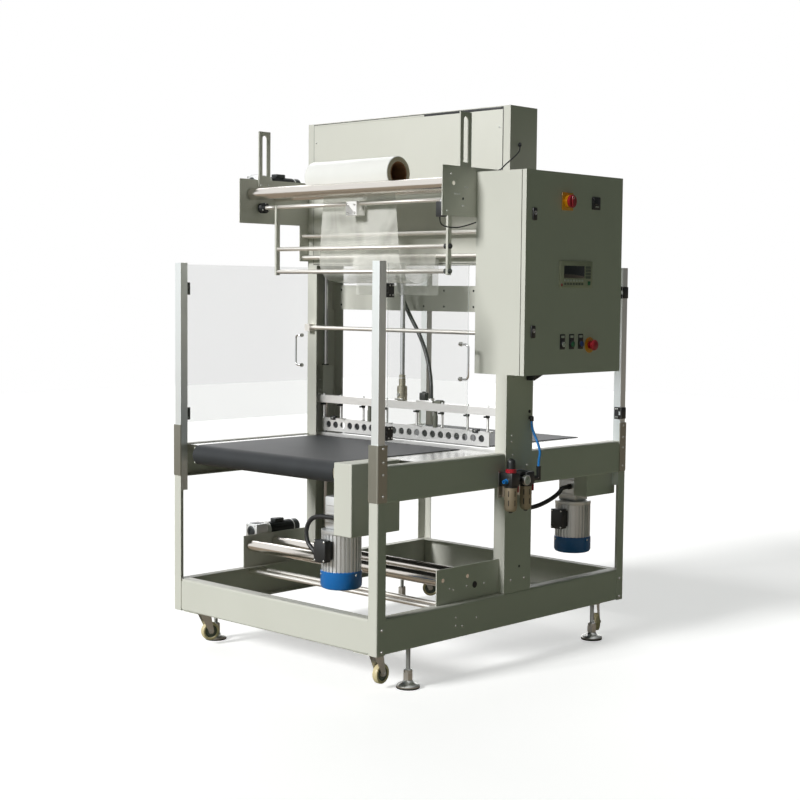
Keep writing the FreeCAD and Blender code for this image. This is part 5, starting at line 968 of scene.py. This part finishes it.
# Levelling feet: a black rubber sole under a pressed steel disc, a tall hexagon sleeve on its ball joint,
# and a threaded stem that screws up into the base rail.
feet = bmesh.new()
for x in (195, 1320):
    for y in (28, 1126):
        lathe(feet, (x, y, 0), UP, ((0, 0), (0, 42), (1.5, 44), (6, 44), (6, 0)), 1, 48)
        lathe(feet, (x, y, 6), UP, ((0, 0), (0, 43.5), (4, 44), (10, 40), (14, 30), (19, 21), (24, 17),
                                    (24, 0)), 0, 48)
        hexagon(feet, (x, y, 29), UP, 19, 31, 0)
        lathe(feet, (x, y, 60), UP, tapered(16.5, 12, -1, 8, 12), 0, 32)
        steps = []
        for index in range(39):
            steps += [(2.0 * index, 8.1), (2.0 * index + 1.0, 9.0)]
        lathe(feet, (x, y, 72), UP, [(-1, 0), (-1, 8.1)] + steps + [(78, 8.1), (78, 0)], 0, 16)
put_together("foot_screws_and_pads", feet, [zinc_plate, seal_rubber], "frame",
             "levelling_feet")


# Casters: a zinc plated swivel fork with its ball race under a plate, and a cream polyurethane wheel with a
# steel bearing boss that turns on a bolt with a nut.
cream_tread = finish("cream_polyurethane", ("#CDBE92", "#DACDA6"), 30, 3, 0.06, Roughness=0.35, IOR=1.5)
for corner, plate_x, plate_y, turn in (("front_infeed", 85, 85, 5), ("front_outfeed", 1415, 85, 230),
                                       ("rear_infeed", 85, 1069, 345), ("rear_outfeed", 1415, 1069, 315)):
    heading = math.radians(turn)
    axle = Vector((-math.sin(heading), math.cos(heading), 0))
    low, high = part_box("caster_wheel_" + corner)
    hub = (low + high) / 2.0 * 1000.0 + Vector((MIDDLE_X, MIDDLE_Y, 0.0))
    wheel = bmesh.new()
    inner_side = hub - axle * 12.0
    lathe(wheel, inner_side, axle, ((2, 26), (0.5, 28), (0, 32), (1, 35), (4, 37.2), (8, 37.5), (16, 37.5),
                                    (20, 37.2), (23, 35), (24, 32), (23.5, 28), (22, 26)), 0, 48)
    lathe(wheel, inner_side, axle, ((4, 4.4), (4, 12), (2.5, 14), (2.5, 18), (5, 20), (5, 24), (2.5, 26.3),
                                    (21.5, 26.3), (19, 24), (19, 20), (21.5, 18), (21.5, 14), (20, 12),
                                    (20, 4.4)), 1, 40)
    lathe(wheel, inner_side, axle, ((0.5, 4.4), (0.5, 9), (3, 11), (21, 11), (23.5, 9), (23.5, 4.4)), 2, 28)
    put_together("wheel_" + corner + "_tread", wheel, [cream_tread, key_grey, zinc_plate],
                 "wheel_" + corner, "caster_wheel_" + corner)
    coat(zinc_plate, "caster_fork_" + corner)
    fork = bmesh.new()
    hexagon(fork, hub + axle * 16.5, axle, 7, 5)
    hexagon(fork, hub - axle * 16.5, -axle, 7, 5)
    lathe(fork, (plate_x, plate_y, 131.5), DOWN, ((-12, 0), (-12, 28), (-3, 28.5), (0, 27), (2, 22),
                                                  (2, 0)), 0, 36)
    hexagon(fork, (plate_x, plate_y, 129.5), DOWN, 8, 5)
    put_together("fork_bolts_" + corner, fork, [zinc_plate], "caster_" + corner)


# Fasteners on the fixed frame: button-head screws through posts, brackets, rails and cradle plates, where
# the photograph shows them, and the same on the rear side.
screws = bmesh.new()
for x, z, across in ((26, 242, 11), (26, 164, 11), (1474, 242, 11), (1474, 164, 11), (428, 229, 7),
                     (547, 213, 7), (428, 198, 7), (465, 192, 7)):
    on_post = x < 60 or x > 1440
    for y, out in ((0 if on_post else 3, -1), (1154 if on_post else 1151, 1)):
        screw(screws, (x, y, z), (0, out, 0), across)
for x in (24, 1476):
    for z in (723, 800, 844, 893):
        for y, out in ((-3, -1), (1157, 1)):
            screw(screws, (x, y, z), (0, out, 0), 9)
for x, z in ((515, 334), (617, 332), (418, 336), (437, 329)):
    for y, out in ((27, -1), (1127, 1)):
        screw(screws, (x, y, z), (0, out, 0), 7)
for x, z, across in ((739, 897, 9), (738, 874, 9), (746, 821, 7), (836, 775, 8), (745, 1120, 7),
                     (745, 330, 9), (827, 330, 9)):
    for y, out in ((0, -1), (1123, 1)):
        screw(screws, (x, y, z), (0, out, 0), across)
for x, z in ((388, 1807), (400, 1807), (412, 1808), (444, 1834), (456, 1834), (430, 1765), (436, 1765),
             (344, 1745), (366, 1880), (534, 1880), (720, 1600), (780, 1600), (720, 1880), (780, 1880),
             (720, 1740), (780, 1740)):
    for y, out in ((-4, -1), (1127, 1)):
        screw(screws, (x, y, z), (0, out, 0), 6 if x < 600 else 9)
for y, out in ((6, 1), (1117, -1)):
    for z in (1888, 1872):
        for x in (430, 470):
            screw(screws, (x, y, z), (0, out, 0), 7)
for y in (60, 300, 460, 573, 686, 846, 1063):
    for z in (1389, 1454):
        screw(screws, (850, y, z), TO_INFEED, 7, 1)
        screw(screws, (854, y, z), TO_OUTFEED, 7, 0)
put_together("frame_fasteners", screws, [zinc_plate, moulded_black], "frame")


# Openings in the front column and the lower front plate: a black rubber grommet by the hose, and black
# discs in the seal rubber that are painted shade in the small drain holes front and rear and in the round
# access hole between the lower rollers.
grommet_and_hole_shades = bmesh.new()
for start, radius in (((562, 27, 334), 13.0), ((796, 0, 379), 5.0), ((847, 0, 985), 7.0),
                      ((803, 1123, 379), 5.0)):
    out = 1 if start[1] > 500 else -1
    lathe(grommet_and_hole_shades, start, (0, out, 0), ((-0.3, 0), (-0.3, radius), (0.8, radius), (1.2, radius - 1),
                                         (0.5, radius - 2), (0.2, radius - 2), (0.2, 0)), 0, 28)
put_together("grommet_and_hole_shades", grommet_and_hole_shades, [seal_rubber], "frame")


# Head covers: each side of the head is closed by a cover sheet let in between the folded front and rear
# edges, with a screw at each corner. A thin black sheet in the seal rubber behind each cover shows round it
# as a dark seam, painted shade in the gap, and a black strip under the top edge is painted shade in the vent
# slots.
covers = bmesh.new()
for x, out in ((705, -1), (867, 1)):
    for thick, low_y, high_y, low_z, high_z, slot in ((0.3, 34, 1089, 1560, 2157, 1),
                                                      (1.6, 37, 1086, 1563, 2147, 0),
                                                      (0.9, 48, 440, 2147.5, 2157, 2),
                                                      (1.6, 446, 1086, 2147, 2154, 0)):
        low_x, high_x = sorted((x, x + out * thick))
        block(covers, (low_x, low_y, low_z), (high_x, high_y, high_z), min(0.7, thick / 3.0), slot)
    for y in (52, 1072):
        for z in (2080, 1850):
            screw(covers, (x + out * 1.6, y, z), (out, 0, 0), 7, 3)
put_together("head_covers", covers, [powder_coat, seal_rubber, moulded_black, zinc_plate], "frame")


# Floor, light and background: a pale floor that fades into white, a broad light from the infeed end as
# in the photograph, a studio that is white on that side and dim on the operator's, and weak light from
# behind so that the far sides still read.
ground = bmesh.new()
bmesh.ops.create_grid(ground, x_segments=1, y_segments=1, size=14.0)
floor_paint = bpy.data.materials.new("pale_floor")
floor_paint.use_nodes = True
floor_tree = floor_paint.node_tree
floor_surface = floor_tree.nodes["Principled BSDF"]
floor_surface.inputs["Roughness"].default_value = 0.9
floor_surface.inputs["Emission Color"].default_value = linear("#FFFFFF")
seen = add(floor_tree, "ShaderNodeLightPath")
glow = add(floor_tree, "ShaderNodeMath", {"operation": "MULTIPLY", 1: 0.46},
           {0: seen.outputs["Is Camera Ray"]})
floor_tree.links.new(glow.outputs["Value"], floor_surface.inputs["Emission Strength"])
dim_tone = add(floor_tree, "ShaderNodeMix", {"data_type": "RGBA", 6: linear("#86907C"),
                                             7: linear("#B8A896")}, {0: seen.outputs["Is Glossy Ray"]})
floor_tone = add(floor_tree, "ShaderNodeMix", {"data_type": "RGBA", 7: linear("#F2F2F1")},
                 {0: seen.outputs["Is Camera Ray"], 6: dim_tone.outputs[2]})
floor_tree.links.new(floor_tone.outputs[2], floor_surface.inputs["Base Color"])
floor_mesh = bpy.data.meshes.new("floor")
ground.to_mesh(floor_mesh)
ground.free()
floor_mesh.materials.append(floor_paint)
floor = bpy.data.objects.new("floor", floor_mesh)
scene.collection.objects.link(floor)

world = bpy.data.worlds.new("studio")
scene.world = world
world.use_nodes = True
world_tree = world.node_tree
rays = add(world_tree, "ShaderNodeLightPath")
direct = add(world_tree, "ShaderNodeMath", {"operation": "MAXIMUM"},
             {0: rays.outputs["Is Camera Ray"], 1: rays.outputs["Is Transmission Ray"]})
heading_in_studio = add(world_tree, "ShaderNodeTexCoord").outputs["Generated"]
to_bright_side = add(world_tree, "ShaderNodeVectorMath",
                     {"operation": "DOT_PRODUCT", 1: (-0.64, 0.64, 0.42)}, {0: heading_in_studio})
mirrored_level = add(world_tree, "ShaderNodeMapRange",
                     {"interpolation_type": "SMOOTHSTEP", 1: -0.6, 2: 0.6, 3: 0.12, 4: 1.0},
                     {0: to_bright_side.outputs["Value"]})
shown = add(world_tree, "ShaderNodeMix", {"data_type": "FLOAT", 2: 0.05},
            {0: rays.outputs["Is Glossy Ray"], 3: mirrored_level.outputs["Result"]})
level_of_world = add(world_tree, "ShaderNodeMath", {"operation": "MAXIMUM"},
                     {0: direct.outputs["Value"], 1: shown.outputs[0]})
background = world_tree.nodes["Background"]
fill_tone = add(world_tree, "ShaderNodeMix", {"data_type": "RGBA", 6: linear("#FFFFFF"),
                                              7: linear("#E9FFE2")}, {0: rays.outputs["Is Diffuse Ray"]})
world_tree.links.new(fill_tone.outputs[2], background.inputs["Color"])
world_tree.links.new(level_of_world.outputs["Value"], background.inputs["Strength"])


def sun(name, travel, strength, angle):
    """A soft distant light that travels along the given direction."""
    data = bpy.data.lights.new(name, "SUN")
    data.energy = strength * math.pi
    data.angle = math.radians(angle)
    light = bpy.data.objects.new(name, data)
    light.rotation_euler = Vector(travel).to_track_quat("-Z", "Y").to_euler()
    scene.collection.objects.link(light)


sun("key_from_infeed_end", (1.0, -0.12, -0.5), 1.06, 14.0)
sun("fill_from_behind", (-0.7, -0.7, -0.4), 0.35, 60.0)
